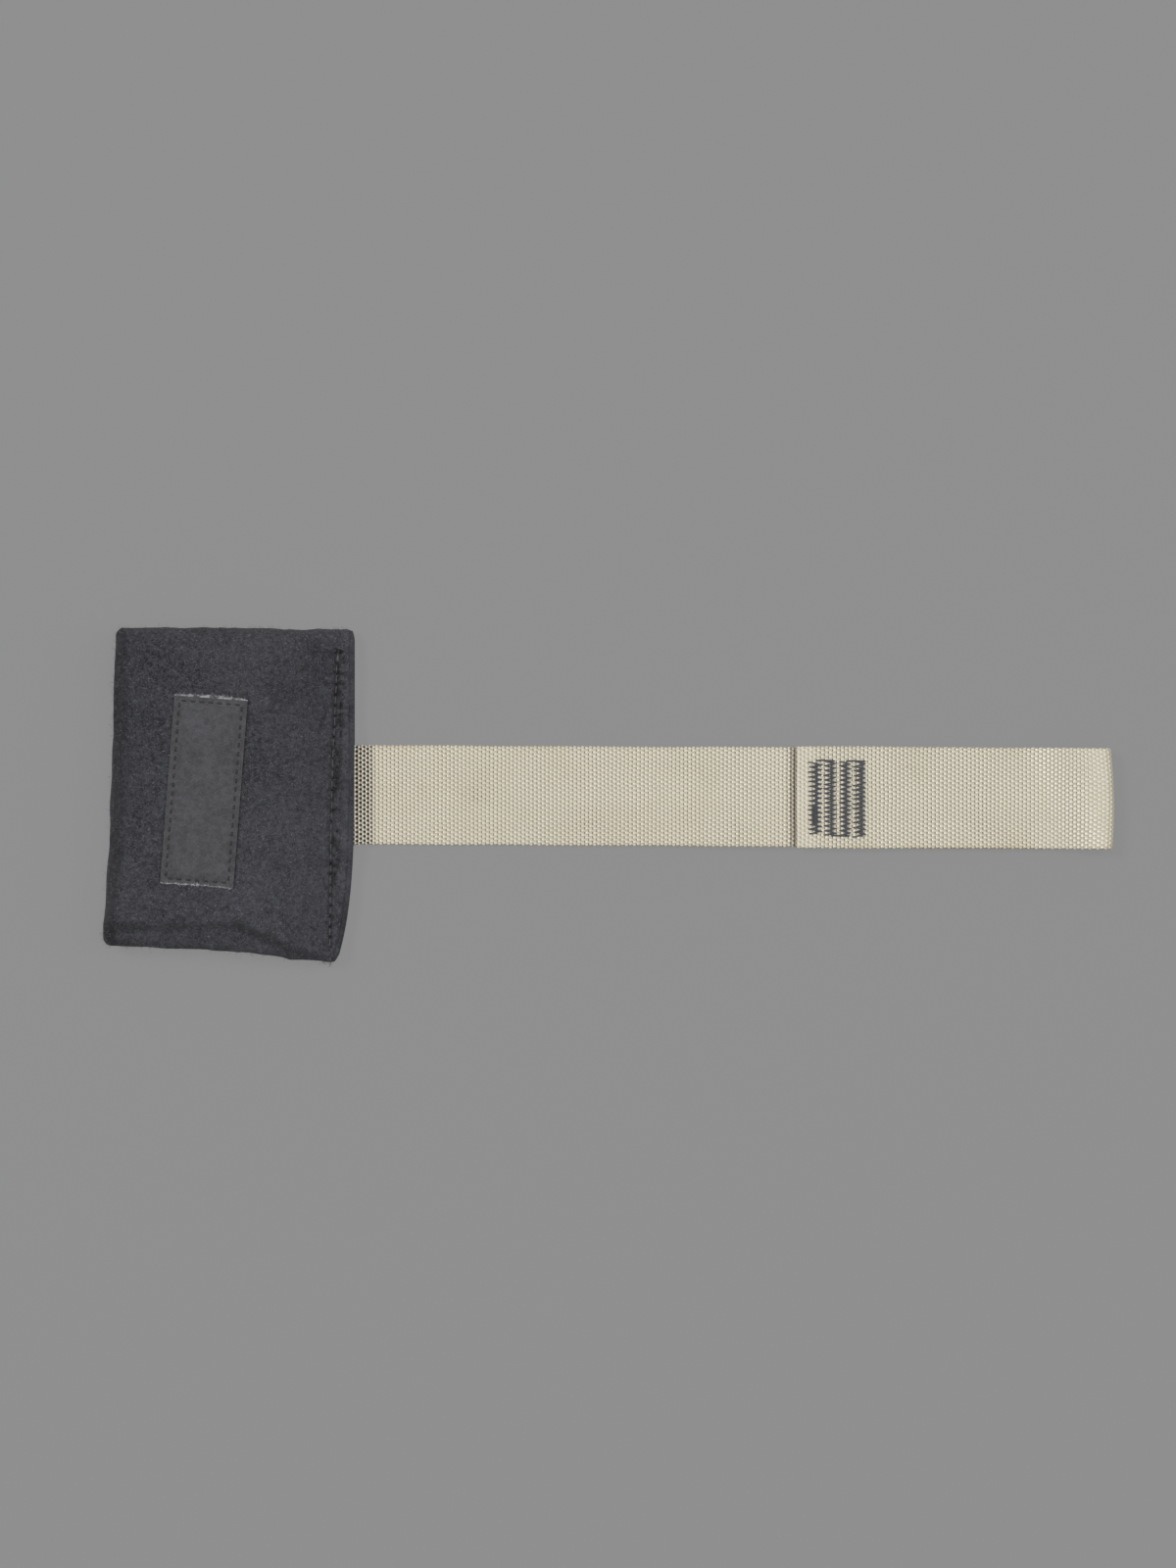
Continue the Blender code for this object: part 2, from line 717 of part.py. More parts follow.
def tail_tacks(finish, group):
    """Two rows of stitches across the doubled end of the tail."""
    z = TAIL_MID + TAIL_STEP + HALF_WEBBING + FIT_GAP + THREAD_RADIUS
    for index in range(2):
        x = TAIL_END + TAIL_TACK_INSET + TAIL_TACK_PITCH * index
        points = [(px, py, z) for px, py in tack_runs(x, ROW_WIDTH, TACK_LENGTH, True)]
        tube(f"tail_tack_{index + 1}_thread", points, THREAD_DIAMETER, finish, group)


def build():
    clear_scene()
    group = collection("door_anchor")
    helpers = collection("cutters")
    felt_cloth = felt()
    foam_block = foam()
    strap_cloth = webbing()
    thread = sewing_thread()

    back = panel("back_cover_panel", back_rim, back_face, 1, 0, felt_cloth, group)
    front = panel("front_cover_panel", front_rim, front_face, -1, FRONT_SETBACK, felt_cloth, group)
    foam_slab("back_foam_slab", back_foam_base, back_foam_top, foam_block, group)
    slab = foam_slab("front_foam_slab", front_foam_base, front_foam_top, foam_block, group)
    cut_tail_pocket(slab, helpers)
    closing_seam(front, back, thread, group)
    side_seam(thread, group)
    label = label_patch(front, label_cloth(), group)
    label_thread(label, thread, group)

    strip("webbing_tail", tail_path(), strap_cloth, group, round_start=False)
    tail_tacks(thread, group)
    mouth = pivot_at("mouth_fold", MOUTH_PIVOT, group)
    strip("webbing_inner_run", inner_run_path(), strap_cloth, group, mouth)
    fold = pivot_at("middle_fold", FOLD_PIVOT, group, mouth)
    strip("webbing_outer_run", outer_run_path(), strap_cloth, group, fold)
    lap = pivot_at("lap_fold", LAP_PIVOT, group, fold)
    strip("webbing_loop", loop_path(), strap_cloth, group, lap, round_end=False)
    for index in range(ROW_COUNT):
        tack_row(index, thread, group, helpers, lap)
        tack_row_underside(index, thread, group, lap)


build()
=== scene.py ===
import bpy
import numpy as np
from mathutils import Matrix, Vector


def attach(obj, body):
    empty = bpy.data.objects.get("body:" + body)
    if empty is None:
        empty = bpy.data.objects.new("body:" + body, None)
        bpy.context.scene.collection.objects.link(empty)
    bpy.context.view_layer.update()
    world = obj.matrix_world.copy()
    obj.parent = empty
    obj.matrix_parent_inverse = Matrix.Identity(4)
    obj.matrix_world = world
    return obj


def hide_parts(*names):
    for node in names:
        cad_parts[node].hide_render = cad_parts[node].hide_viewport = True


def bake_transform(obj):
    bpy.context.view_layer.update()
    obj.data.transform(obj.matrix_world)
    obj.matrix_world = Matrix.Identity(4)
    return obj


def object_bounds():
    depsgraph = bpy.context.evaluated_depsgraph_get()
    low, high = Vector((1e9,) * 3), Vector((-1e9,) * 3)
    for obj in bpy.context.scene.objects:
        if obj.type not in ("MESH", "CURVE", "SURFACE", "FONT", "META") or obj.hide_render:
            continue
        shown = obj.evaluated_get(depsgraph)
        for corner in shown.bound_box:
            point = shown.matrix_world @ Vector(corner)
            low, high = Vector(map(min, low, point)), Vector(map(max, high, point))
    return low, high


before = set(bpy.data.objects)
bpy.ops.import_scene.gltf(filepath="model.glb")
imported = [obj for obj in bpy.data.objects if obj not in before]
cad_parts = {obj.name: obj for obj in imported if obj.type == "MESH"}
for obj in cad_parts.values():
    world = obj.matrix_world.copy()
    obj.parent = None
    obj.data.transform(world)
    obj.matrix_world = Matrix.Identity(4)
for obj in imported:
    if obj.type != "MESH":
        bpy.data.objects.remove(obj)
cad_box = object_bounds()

# Foam slabs
# The pouch is filled with two slabs of grey closed-cell foam, cut to its outline and laid one on the
# other, with the end of the webbing between them. The upper slab is hollowed where the end is doubled.

POUCH_LEFT, POUCH_LOW = [round(place, 6) for place in cad_box[0][:2]]
POUCH_TOP = round(cad_box[1][1], 6)
POUCH_HEIGHT = POUCH_TOP - POUCH_LOW
POUCH_MOUTH = -0.09395
POUCH_THICKNESS = 0.018
CROWN = 0.0012
LEFT_LEAN = 0.0044
MOUTH_SWEEP = 0.0068
BOTTOM_DROP = 0.0067
SEAM_TOP_INSET = 0.0058
SEAM_LOW_INSET = 0.0091
SHOULDER = 0.020
LEFT_ROLL = 0.0048
TOP_ROLL = 0.0055
BOTTOM_ROLL = 0.0110
CORNER_ROLL = 0.0038
FELT = 0.0015
HEM = 2 * FELT
HEM_LOW = 0.0009
HEM_TOP = HEM_LOW + HEM
FELT_AND_AIR = FELT + 0.0008
GAP = 0.0003
WEBBING = 0.0016
PASSAGE = 0.0206
PASSAGE_SIDE = 0.0064
MOUTH_MIDDLE = HEM_TOP + GAP + WEBBING / 2
TAIL_MIDDLE = 0.00805
POCKET_LEFT = -0.1572
POCKET_RIGHT = -0.1300
POCKET_HALF = 0.0205
POCKET_TOP = 0.0120
FOAM_SETBACK = 0.008
SLACK_LINE = (
    (-0.190, -0.150, -0.1365, -0.1204, -0.1103, -0.1030),
    (-0.0486, -0.0484, -0.0478, -0.0556, -0.0592, -0.0622),
)


def mix(low, high, share):
    """The value that lies this share of the way from low to high."""
    return low + (high - low) * share


def ease(share):
    """0 below 0, 1 above 1, and three squares less two cubes of the share between them."""
    share = np.clip(share, 0, 1)
    return share * share * (3 - 2 * share)


def bell(distance, width):
    """1 at no distance, falling as the exponential of minus the square of distance over width."""
    return np.exp(-((distance / width) ** 2))


def left_edge(v):
    """The pouch's left edge leans in evenly towards the top."""
    return POUCH_LEFT + LEFT_LEAN * v


def mouth_edge(v):
    """The mouth edge is straight, and sweeps in at the bottom with the sixth power of the height left."""
    return POUCH_MOUTH - MOUTH_SWEEP * np.clip(1 - v, 0, None) ** 6


def seam_line(v):
    """The closing seam's place, further inside the mouth at the bottom than at the top, on a parabola."""
    return POUCH_MOUTH - mix(SEAM_TOP_INSET, SEAM_LOW_INSET, 1 - v * v)


def bottom_edge(u):
    """The bottom edge drops from the left corner to the mouth, with the power 1.6 of the width."""
    return POUCH_LOW + BOTTOM_DROP * (1 - np.clip(u, 0, 1) ** 1.6)


def bottom_roll(u):
    """The radius of the bottom edge narrows over the last two fifths of the width."""
    return mix(BOTTOM_ROLL, CORNER_ROLL, ease((u - 0.6) / 0.4))


def roll(depth, radius, wall):
    """Height share of a rounded edge: a quarter of an ellipse up to the radius, less behind a wall."""
    return np.sqrt(np.clip(1 - (np.clip(radius - depth, 0, None) / (radius - wall)) ** 2, 0, 1))


def edge_height(x, y, u, v, wall=0):
    """Height share over the plan: the product of the shares of the left, the top and the bottom edge."""
    sides = roll(x - left_edge(v), LEFT_ROLL, wall) * roll(POUCH_TOP - y, TOP_ROLL, wall)
    return sides * roll(y - bottom_edge(u), bottom_roll(u), wall)


def fullness(x, v):
    """0 on the flat flange at the mouth, eased to 1 one shoulder behind the closing seam."""
    return ease((seam_line(v) - x) / SHOULDER)


def over_webbing(y):
    """1 over the webbing's passage, eased to 0 a little beside it, where the panels meet."""
    return 1 - ease((np.abs(y) - PASSAGE) / PASSAGE_SIDE)


def back_rim(x, v):
    """Height of the side seam on the back panel: the hem's at the mouth, half way up in the body."""
    return mix(HEM_TOP, POUCH_THICKNESS / 2 - GAP / 2, fullness(x, v))


def front_rim(x, y, v):
    """The same on the front panel, a webbing's thickness higher where the webbing passes through."""
    return back_rim(x, v) + GAP + (WEBBING + GAP) * over_webbing(y) * (1 - fullness(x, v))


def back_face(x, v):
    """The back panel's outside: on the floor in the body, and just off it at the mouth."""
    return mix(HEM_LOW, 0, fullness(x, v))


def front_face(x, y, u, v):
    """The front panel's outside: crowned as a product of two parabolas, easing down to the flange."""
    dip = 1 - (1 - (2 * u - 1) ** 2) * (1 - (2 * v - 1) ** 2)
    flange = HEM_TOP + GAP + (WEBBING + GAP) * over_webbing(y) + HEM
    return mix(flange, POUCH_THICKNESS - CROWN * dip, fullness(x, v))


def slack(x, y):
    """The front is slack below a line from the left corner down to the mouth. Gives the distance below
    it, and the drop there: a furrow beside the line, and more in the corner."""
    below = np.interp(x, *SLACK_LINE) - y
    corner = 0.0024 * ease((below + 0.001) / 0.009) * (1 - ease((x + 0.130) / 0.03))
    return below, 0.0020 * bell(below - 0.0012, 0.0020) + corner


def plan(x, v):
    """Share u of the width, and y, at a place x and a share v of the height."""
    u = (x - left_edge(v)) / (mouth_edge(v) - left_edge(v))
    return u, mix(bottom_edge(u), POUCH_TOP, v)


def joined(*parts):
    """Points, or other rows of numbers, from one array for each of their parts."""
    return np.stack(np.broadcast_arrays(*parts), -1)


def mesh_piece(name, points, quads, caps=None, sharp=None):
    """A smooth mesh object from an array of points, one of four-sided faces and one of faces that close
    ends. Edges that turn by more than the sharp angle, in degrees, stay crisp."""
    caps = np.zeros((0, 3), int) if caps is None else caps
    mesh = bpy.data.meshes.new(name)
    mesh.vertices.add(len(points))
    mesh.vertices.foreach_set("co", points.astype(np.float32).ravel())
    corners = np.concatenate([quads.ravel(), caps.ravel()]).astype(np.int32)
    starts = np.concatenate([np.arange(len(quads)) * 4, quads.size + np.arange(len(caps)) * caps.shape[1]])
    mesh.loops.add(len(corners))
    mesh.loops.foreach_set("vertex_index", corners)
    mesh.polygons.add(len(starts))
    mesh.polygons.foreach_set("loop_start", starts.astype(np.int32))
    mesh.update(calc_edges=True)
    mesh.shade_smooth()
    if sharp:
        mesh.set_sharp_from_angle(angle=np.radians(sharp))
    piece = bpy.data.objects.new(name, mesh)
    bpy.context.scene.collection.objects.link(piece)
    return piece


def cells(numbers):
    """The four-sided faces of a grid of point numbers; they face up where rows run along y."""
    corners = [numbers[:-1, :-1], numbers[:-1, 1:], numbers[1:, 1:], numbers[1:, :-1]]
    return np.stack(corners, -1).reshape(-1, 4)


def shell(name, upper, lower, sharp):
    """A closed body between two grids of points, one over the other, with a strip round the border."""
    rows, columns = upper.shape[:2]
    shift = rows * columns
    top = np.arange(shift).reshape(rows, columns)
    around = np.concatenate([top[0, :-1], top[:-1, -1], top[-1, :0:-1], top[:0:-1, 0]])
    after = np.roll(around, -1)
    rim = np.stack([around + shift, after + shift, after, around], -1)
    faces = np.concatenate([cells(top), cells(top + shift)[:, ::-1], rim])
    return mesh_piece(name, np.concatenate([upper.reshape(-1, 3), lower.reshape(-1, 3)]), faces, sharp=sharp)


def dressed(piece, body, finish, slot, *nodes):
    """A piece with its finish, riding on its body, in place of its CAD nodes."""
    piece.data.materials.append(finish)
    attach(piece, body)
    if nodes:
        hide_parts(*nodes)
    return piece


class Wire:
    """One output of a node in a material; sums written with it add Math nodes to the same material."""

    def __init__(self, tree, socket=None):
        self.tree, self.socket = tree, socket

    def node(self, kind, settings, values, output=0):
        """Any node: its settings are set first, then its sockets get numbers, colours or wires."""
        made = self.tree.nodes.new(kind)
        for key, value in settings.items():
            if key == "stops":
                ramp = made.color_ramp.elements
                ramp.remove(ramp[1])
                ramp[0].position, ramp[0].color = value[0][0], (*value[0][1], 1)
                for place, colour in value[1:]:
                    ramp.new(place).color = (*colour, 1)
            else:
                setattr(made, key, value)
        for key, value in values.items():
            if isinstance(value, Wire):
                self.tree.links.new(value.socket, made.inputs[key])
            else:
                made.inputs[key].default_value = value
        return Wire(self.tree, made.outputs[output] if made.outputs else None)

    def math(self, operation, *values):
        """One Math node on numbers or wires."""
        return self.node("ShaderNodeMath", {"operation": operation}, dict(enumerate(values)))

    def __add__(self, other):
        return self.math("ADD", self, other)

    def __sub__(self, other):
        return self.math("SUBTRACT", self, other)

    def __rsub__(self, other):
        return self.math("SUBTRACT", other, self)

    def __mul__(self, other):
        return self.math("MULTIPLY", self, other)

    def __abs__(self):
        return self.math("ABSOLUTE", self)

    __radd__ = __add__
    __rmul__ = __mul__

    def between(self, low, high, start=0.0, end=1.0):
        """Eased from start to end as the value goes from low to high."""
        values = {"Value": self, "From Min": low, "From Max": high, "To Min": start, "To Max": end}
        return self.node("ShaderNodeMapRange", {"interpolation_type": "SMOOTHSTEP"}, values)

    def tint(self, first, second):
        """A colour: first where the value is 0, second mixed in by the value."""
        first, second = [colour if isinstance(colour, Wire) else (*colour, 1) for colour in (first, second)]
        return self.node("ShaderNodeMix", {"data_type": "RGBA"}, {0: self, 6: first, 7: second}, 2)

    def tinted(self, *layers):
        """A colour with others mixed over it in turn, each by its own share."""
        colour = self
        for share, tone in layers:
            colour = share.tint(colour, tone)
        return colour

    def scaled(self, factors):
        """A vector times three factors."""
        return self.node("ShaderNodeVectorMath", {"operation": "MULTIPLY"}, {0: self, 1: factors})

    def turned(self, angle, factors):
        """A vector turned about the z axis and then stretched, for a grain that lies across the axes."""
        values = {"Vector": self, "Angle": angle}
        return self.node("ShaderNodeVectorRotate", {"rotation_type": "Z_AXIS"}, values).scaled(factors)

    def noise(self, scale, detail=2.0, roughness=0.5, distortion=0.0):
        """Noise from 0 to 1 at the places that the vector gives."""
        values = {"Vector": self, "Scale": scale, "Detail": detail}
        values.update({"Roughness": roughness, "Distortion": distortion})
        return self.node("ShaderNodeTexNoise", {}, values)

    def parts(self):
        """The x, y and z of a vector."""
        return [self.node("ShaderNodeSeparateXYZ", {}, {0: self}, axis) for axis in range(3)]

    def attribute(self, name, output="Fac"):
        """A value that the mesh carries on its points."""
        return self.node("ShaderNodeAttribute", {"attribute_name": name}, {}, output)


def blank_finish(name):
    """An empty node material, its places on the piece, and a function that closes it with its surface."""
    material = bpy.data.materials.new(name)
    material.use_nodes = True
    tree = material.node_tree
    tree.nodes.clear()
    place = Wire(tree).node("ShaderNodeTexCoord", {}, {}, "Object")

    def close(colour, roughness, height, depth, **constants):
        """The surface, with a bump of a given depth, and what is the same all over on its own sockets."""
        bump = place.node("ShaderNodeBump", {}, {"Strength": 1.0, "Distance": depth, "Height": height})
        values = {"Base Color": colour, "Roughness": roughness, "Normal": bump}
        values.update({key.replace("_", " "): value for key, value in constants.items()})
        surface = place.node("ShaderNodeBsdfPrincipled", {}, values)
        place.node("ShaderNodeOutputMaterial", {}, {"Surface": surface})
        return material

    return place, close


def foam_finish():
    """Closed cells under a millimetre across, as the distance in a cell pattern, and faint mottling."""
    place, close = blank_finish("grey_foam_cells")
    cell = place.node("ShaderNodeTexVoronoi", {}, {"Vector": place, "Scale": 1500.0})
    cloud = place.noise(70.0, 3.0)
    shade = cell.between(0.0, 0.6) * 0.6 + cloud * 0.4
    colour = shade.tint((0.15, 0.15, 0.16), (0.28, 0.28, 0.29))
    return close(colour, cloud.between(0.3, 0.7, 0.82, 0.95), cell, 0.0002, IOR=1.4)


def foam_slab(name, node, base, top):
    """A slab between two heights over the plan, cut inside the felt and short of the closing seam."""
    low, left, high = [mix(FELT_AND_AIR, radius, 0.3) for radius in (BOTTOM_ROLL, LEFT_ROLL, TOP_ROLL)]
    v = mix(low, POUCH_HEIGHT - high, np.linspace(0, 1, 73)[:, None]) / POUCH_HEIGHT
    x = mix(left_edge(v) + left, seam_line(v) - FOAM_SETBACK, np.linspace(0, 1, 65)[None, :])
    u, y = plan(x, v)
    lower, upper = [joined(x, y, height(x, y, u, v)) for height in (base, top)]
    piece = dressed(shell(name, upper, lower, 50), "pouch", foam, "grey_foam", node)


def tail_height(x):
    """The webbing between the slabs runs level, then eases down to the mouth over the shoulder."""
    return mix(MOUTH_MIDDLE, TAIL_MIDDLE, fullness(x, 0.5))


def lower_slab_base(x, y, u, v):
    """From the side seam down to the back panel's inside, by the rounded edges' share."""
    return mix(back_rim(x, v), back_face(x, v) + FELT_AND_AIR, edge_height(x, y, u, v, FELT_AND_AIR))


def lower_slab_top(x, y, u, v):
    """A gap under the webbing."""
    return tail_height(x) - WEBBING / 2 - GAP


def upper_slab_base(x, y, u, v):
    """Over the webbing, and hollowed with eased walls over its doubled end."""
    inside = np.minimum(POCKET_HALF - np.abs(y), np.minimum(x - POCKET_LEFT, POCKET_RIGHT - x))
    return mix(tail_height(x) + WEBBING / 2 + GAP, POCKET_TOP, ease(inside / 0.001))


def upper_slab_top(x, y, u, v):
    """From the side seam up to the front panel's inside, by the rounded edges' share."""
    inside = front_face(x, y, u, v) - slack(x, y)[1] - FELT_AND_AIR
    return mix(front_rim(x, y, v), inside, edge_height(x, y, u, v, FELT_AND_AIR))


foam = foam_finish()
foam_slab("foam_slab_lower", "back_foam_slab", lower_slab_base, lower_slab_top)
foam_slab("foam_slab_upper", "front_foam_slab", upper_slab_base, upper_slab_top)


# Felt covers
# Two panels of dark needle-punched felt, 1.5 mm thick, sewn together inside out on three sides and turned.
# At the mouth each is folded in, so that the hem is doubled. The cloth is blown out a little over the foam.

SEAM_STITCH = 0.0039
SEAM_COUNT = 28
SEAM_LOW = POUCH_LOW + 0.0060
SEAM_HIGH = SEAM_LOW + SEAM_STITCH * SEAM_COUNT
START_HOLE = (-0.1003, 0.0534)
CREASES = np.array([[(-0.1040, 0.0323), (-0.1073, 0.0224)], [(-0.0981, 0.0534), (-0.1100, 0.0532)]])
FLANGE_LINE = 0.0018
LABEL_CENTRE = (-0.14915, 0.0017)
LABEL_SIZE = (0.0271, 0.0698)
LABEL_TURN = np.radians(-4.4)
LABEL_INSET = 0.002
# Height, size and seed of the front's hills
HILLS = ((0.00030, 0.021, 1), (0.00016, 0.009, 2), (0.00010, 0.0035, 3), (0.00006, 0.0014, 4))
# Lines round each quarter of the hem's fold
FOLD_ANGLES = np.radians([18, 36, 54, 70, 84])


def lumps(x, y, size, seed):
    """Random hills from -1 to 1, of a given size: lattice values, each eased into the next both ways."""
    lattice = np.random.default_rng(seed).uniform(-1, 1, (256, 256))
    px, py = x / size + 128, y / size + 128
    column, row = np.floor(px).astype(int), np.floor(py).astype(int)
    a, b = ease(px - column), ease(py - row)
    near = mix(lattice[row % 256, column % 256], lattice[row % 256, (column + 1) % 256], a)
    far = mix(lattice[(row + 1) % 256, column % 256], lattice[(row + 1) % 256, (column + 1) % 256], a)
    return mix(near, far, b)


def ripples(along, size, seed):
    """Random values from -1 to 1 along one direction."""
    return lumps(along, 0 * along, size, seed)


def creases(x, y, width):
    """The creases beside the closing seam: a bell across each line, fading to 0 past the line's ends."""
    total = 0
    for start, end in CREASES:
        run = end - start
        length = np.hypot(*run)
        along = ((x - start[0]) * run[0] + (y - start[1]) * run[1]) / length**2
        across = ((y - start[1]) * run[0] - (x - start[0]) * run[1]) / length
        total = total + bell(across, width) * ease(along * 4 + 0.5) * ease((1 - along) * 4 + 0.5)
    return total


def start_hole(x, y, width):
    """A bell round the hole where the seam's first long stitch starts."""
    return bell(np.hypot(x - START_HOLE[0], y - START_HOLE[1]), width)


def seam_hole(y):
    """Distance along the closing seam to the nearest of its evenly spaced stitch holes."""
    return np.abs((y - SEAM_LOW) / SEAM_STITCH - np.round((y - SEAM_LOW) / SEAM_STITCH)) * SEAM_STITCH


def sewn(y):
    """1 along the sewn length of the closing seam and 0 beyond its ends."""
    return ease((y - SEAM_LOW + 0.002) / 0.002) * ease((SEAM_HIGH + 0.002 - y) / 0.002)


def ruffled(y):
    """1 where the felt is ruffled beside the closing seam, easing to 0 over its clean lowest stretch."""
    return ease((y + 0.040) / 0.012)


def blotches(x, y):
    """Spots from 0 to 1, about 1.3 mm across, sharper than hills: 2.2 times the hills, cut at 0 and 1."""
    return np.clip(0.35 + 2.2 * lumps(x, y, 0.0013, 15), 0, 1) * ruffled(y)


def on_label(x, y):
    """Places on the label's own axes: across it and along it, from its middle."""
    dx, dy = x - LABEL_CENTRE[0], y - LABEL_CENTRE[1]
    cosine, sine = np.cos(LABEL_TURN), np.sin(LABEL_TURN)
    return dx * cosine + dy * sine, dy * cosine - dx * sine


def label_line(x, y):
    """Distance to the stitch line that runs round the label, a little inside its edges."""
    across, along = on_label(x, y)
    dx, dy = [np.abs(p) - size / 2 + LABEL_INSET for p, size in zip((across, along), LABEL_SIZE)]
    beyond = np.hypot(np.clip(dx, 0, None), np.clip(dy, 0, None))
    return np.where((dx < 0) & (dy < 0), -np.maximum(dx, dy), beyond)


def front_relief(x, y, v):
    """What the sewing and the slack add to the front face: the seam's groove and holes, the puckers and
    blotches beside them, the line along the flange, the dent of the label's stitches, the slack's furrow
    with a ridge above it, two creases by the seam, and hills of four sizes."""
    off = x - seam_line(v)
    seam = -0.0009 * bell(off, 0.0007)
    seam -= (0.0008 + 0.0005 * ripples(y, 0.004, 16)) * bell(np.hypot(off, seam_hole(y)), 0.0008)
    seam -= 0.0014 * blotches(x, y) * bell(off - 0.0016, 0.0015)
    pucker = 0.00013 * np.cos(2 * np.pi * (y - SEAM_LOW) / SEAM_STITCH + np.pi)
    seam += pucker * bell(np.abs(off) - 0.0018, 0.0016) * ruffled(y)
    seam += 0.0005 * lumps(x, y, 0.0031, 18) * bell(off - 0.0035, 0.0030)
    flange = x - mouth_edge(v) + FLANGE_LINE + 0.0003 * ripples(y, 0.012, 9)
    below, drop = slack(x, y)
    relief = seam * sewn(y) - 0.00045 * bell(flange, 0.00035) * ease((0.040 - y) / 0.004)
    relief -= 0.00025 * bell(label_line(x, y), 0.0014)
    relief += 0.0013 * bell(below + 0.0035, 0.0030) * ease((x + 0.150) / 0.02) - drop
    relief -= 0.0007 * creases(x, y, 0.0006) + 0.0010 * start_hole(x, y, 0.0008)
    return relief + sum(height * lumps(x, y, size, seed) for height, size, seed in HILLS)


def pressed(x, y, v):
    """Painted shade on the front, from 0 to 1: at the seam's holes, in its slit and in blotches beside it,
    in the creases, in the slack's furrow, a painted shadow along the label's right edge, and down the
    left edge."""
    off = x - seam_line(v)
    value = (0.2 + 0.5 * ripples(y, 0.004, 16)) * bell(np.hypot(off - 0.0004, seam_hole(y)), 0.0008)
    value += 0.8 * blotches(x, y) * bell(off - 0.0016, 0.0017)
    value += 0.4 * blotches(x, y + 0.01) * bell(off + 0.0012, 0.0008)
    value += (0.45 + 0.25 * ripples(y, 0.0055, 19)) * bell(off - 0.0003, 0.0007)
    value += 0.45 * np.clip(lumps(x, y, 0.0030, 20), 0, 1) * bell(off - 0.0036, 0.0034)
    value = value * sewn(y) + 0.6 * bell(x - mouth_edge(v) + FLANGE_LINE, 0.0004)
    value += 0.6 * creases(x, y, 0.0005) + 0.9 * start_hole(x, y, 0.0007)
    below = slack(x, y)[0]
    furrow = 0.20 + 0.12 * lumps(x, y, 0.006, 17) + 0.36 * ease((x + 0.142) / 0.008)
    value += 0.08 * ease((below + 0.001) / 0.004) + furrow * bell(below - 0.0008, 0.0020)
    value += 0.60 * bell(np.clip(x - left_edge(v) - 0.0035, 0, None), 0.0022)
    across, along = on_label(x, y)
    value += 0.7 * bell(across - LABEL_SIZE[0] / 2 - 0.0003, 0.0005) * (np.abs(along) < LABEL_SIZE[1] / 2)
    return np.clip(value, 0, 1)


def back_relief(x, y, v):
    """On the back the hills, the groove and the holes are shallower, because it lies flat."""
    off = x - seam_line(v)
    seam = 0.0003 * bell(off, 0.0008) + 0.0004 * bell(np.hypot(off, seam_hole(y)), 0.0006)
    hills = 0.00012 * (1 + lumps(x, y, 0.012, 5)) + 0.00005 * lumps(x, y, 0.0025, 6)
    return -seam * sewn(y) - hills


def stations():
    """Columns from the left edge to the mouth, as a span number and a share of it: 16 cells round the
    edge, closest where it is steepest, 100 on the flat, 28 down the shoulder, 20 across the closing seam
    and 8 on the flange."""
    turn = 1 - np.cos(np.linspace(0, np.pi / 2, 17)[:-1])
    shares = [turn] + [np.linspace(0, 1, count + 1)[:-1] for count in (100, 28, 20)] + [np.linspace(0, 1, 9)]
    return np.concatenate([np.full(len(s), i) for i, s in enumerate(shares)]), np.concatenate(shares)


def heights():
    """Rows from the bottom to the top edge as shares of the height, closest where the edges are steep."""
    low = BOTTOM_ROLL * (1 - np.cos(np.linspace(0, np.pi / 2, 25)))
    high = POUCH_HEIGHT - TOP_ROLL * (1 - np.cos(np.linspace(0, np.pi / 2, 17)))[::-1]
    return np.concatenate([low[:-1], np.linspace(low[-1], high[0], 217), high[1:]])[:, None] / POUCH_HEIGHT


def panel_plan():
    """Plan places of a panel's grid: each column lies in its span, whose ends move with the height."""
    span, share = stations()
    v = heights()
    seam, mouth = seam_line(v), mouth_edge(v) - FELT
    near = np.minimum(0.003, 0.6 * (mouth - seam))
    ends = [left_edge(v), left_edge(v) + LEFT_ROLL, seam - SHOULDER, seam - near, seam + near, mouth]
    ends = np.concatenate(ends, 1)
    x = mix(ends[:, span], ends[:, span + 1], share[None, :])
    u, y = plan(x, v)
    return x, y, u, np.broadcast_to(v, x.shape)


def inward(depth, radius):
    """1 at an edge, falling evenly to 0 at the radius inside it."""
    return np.clip(1 - depth / radius, 0, 1)


def set_back(depth, radius):
    """How far a rounded corner stands back at a depth: the radius less its quarter circle."""
    return radius * (1 - np.sqrt(1 - inward(depth, radius) ** 2))


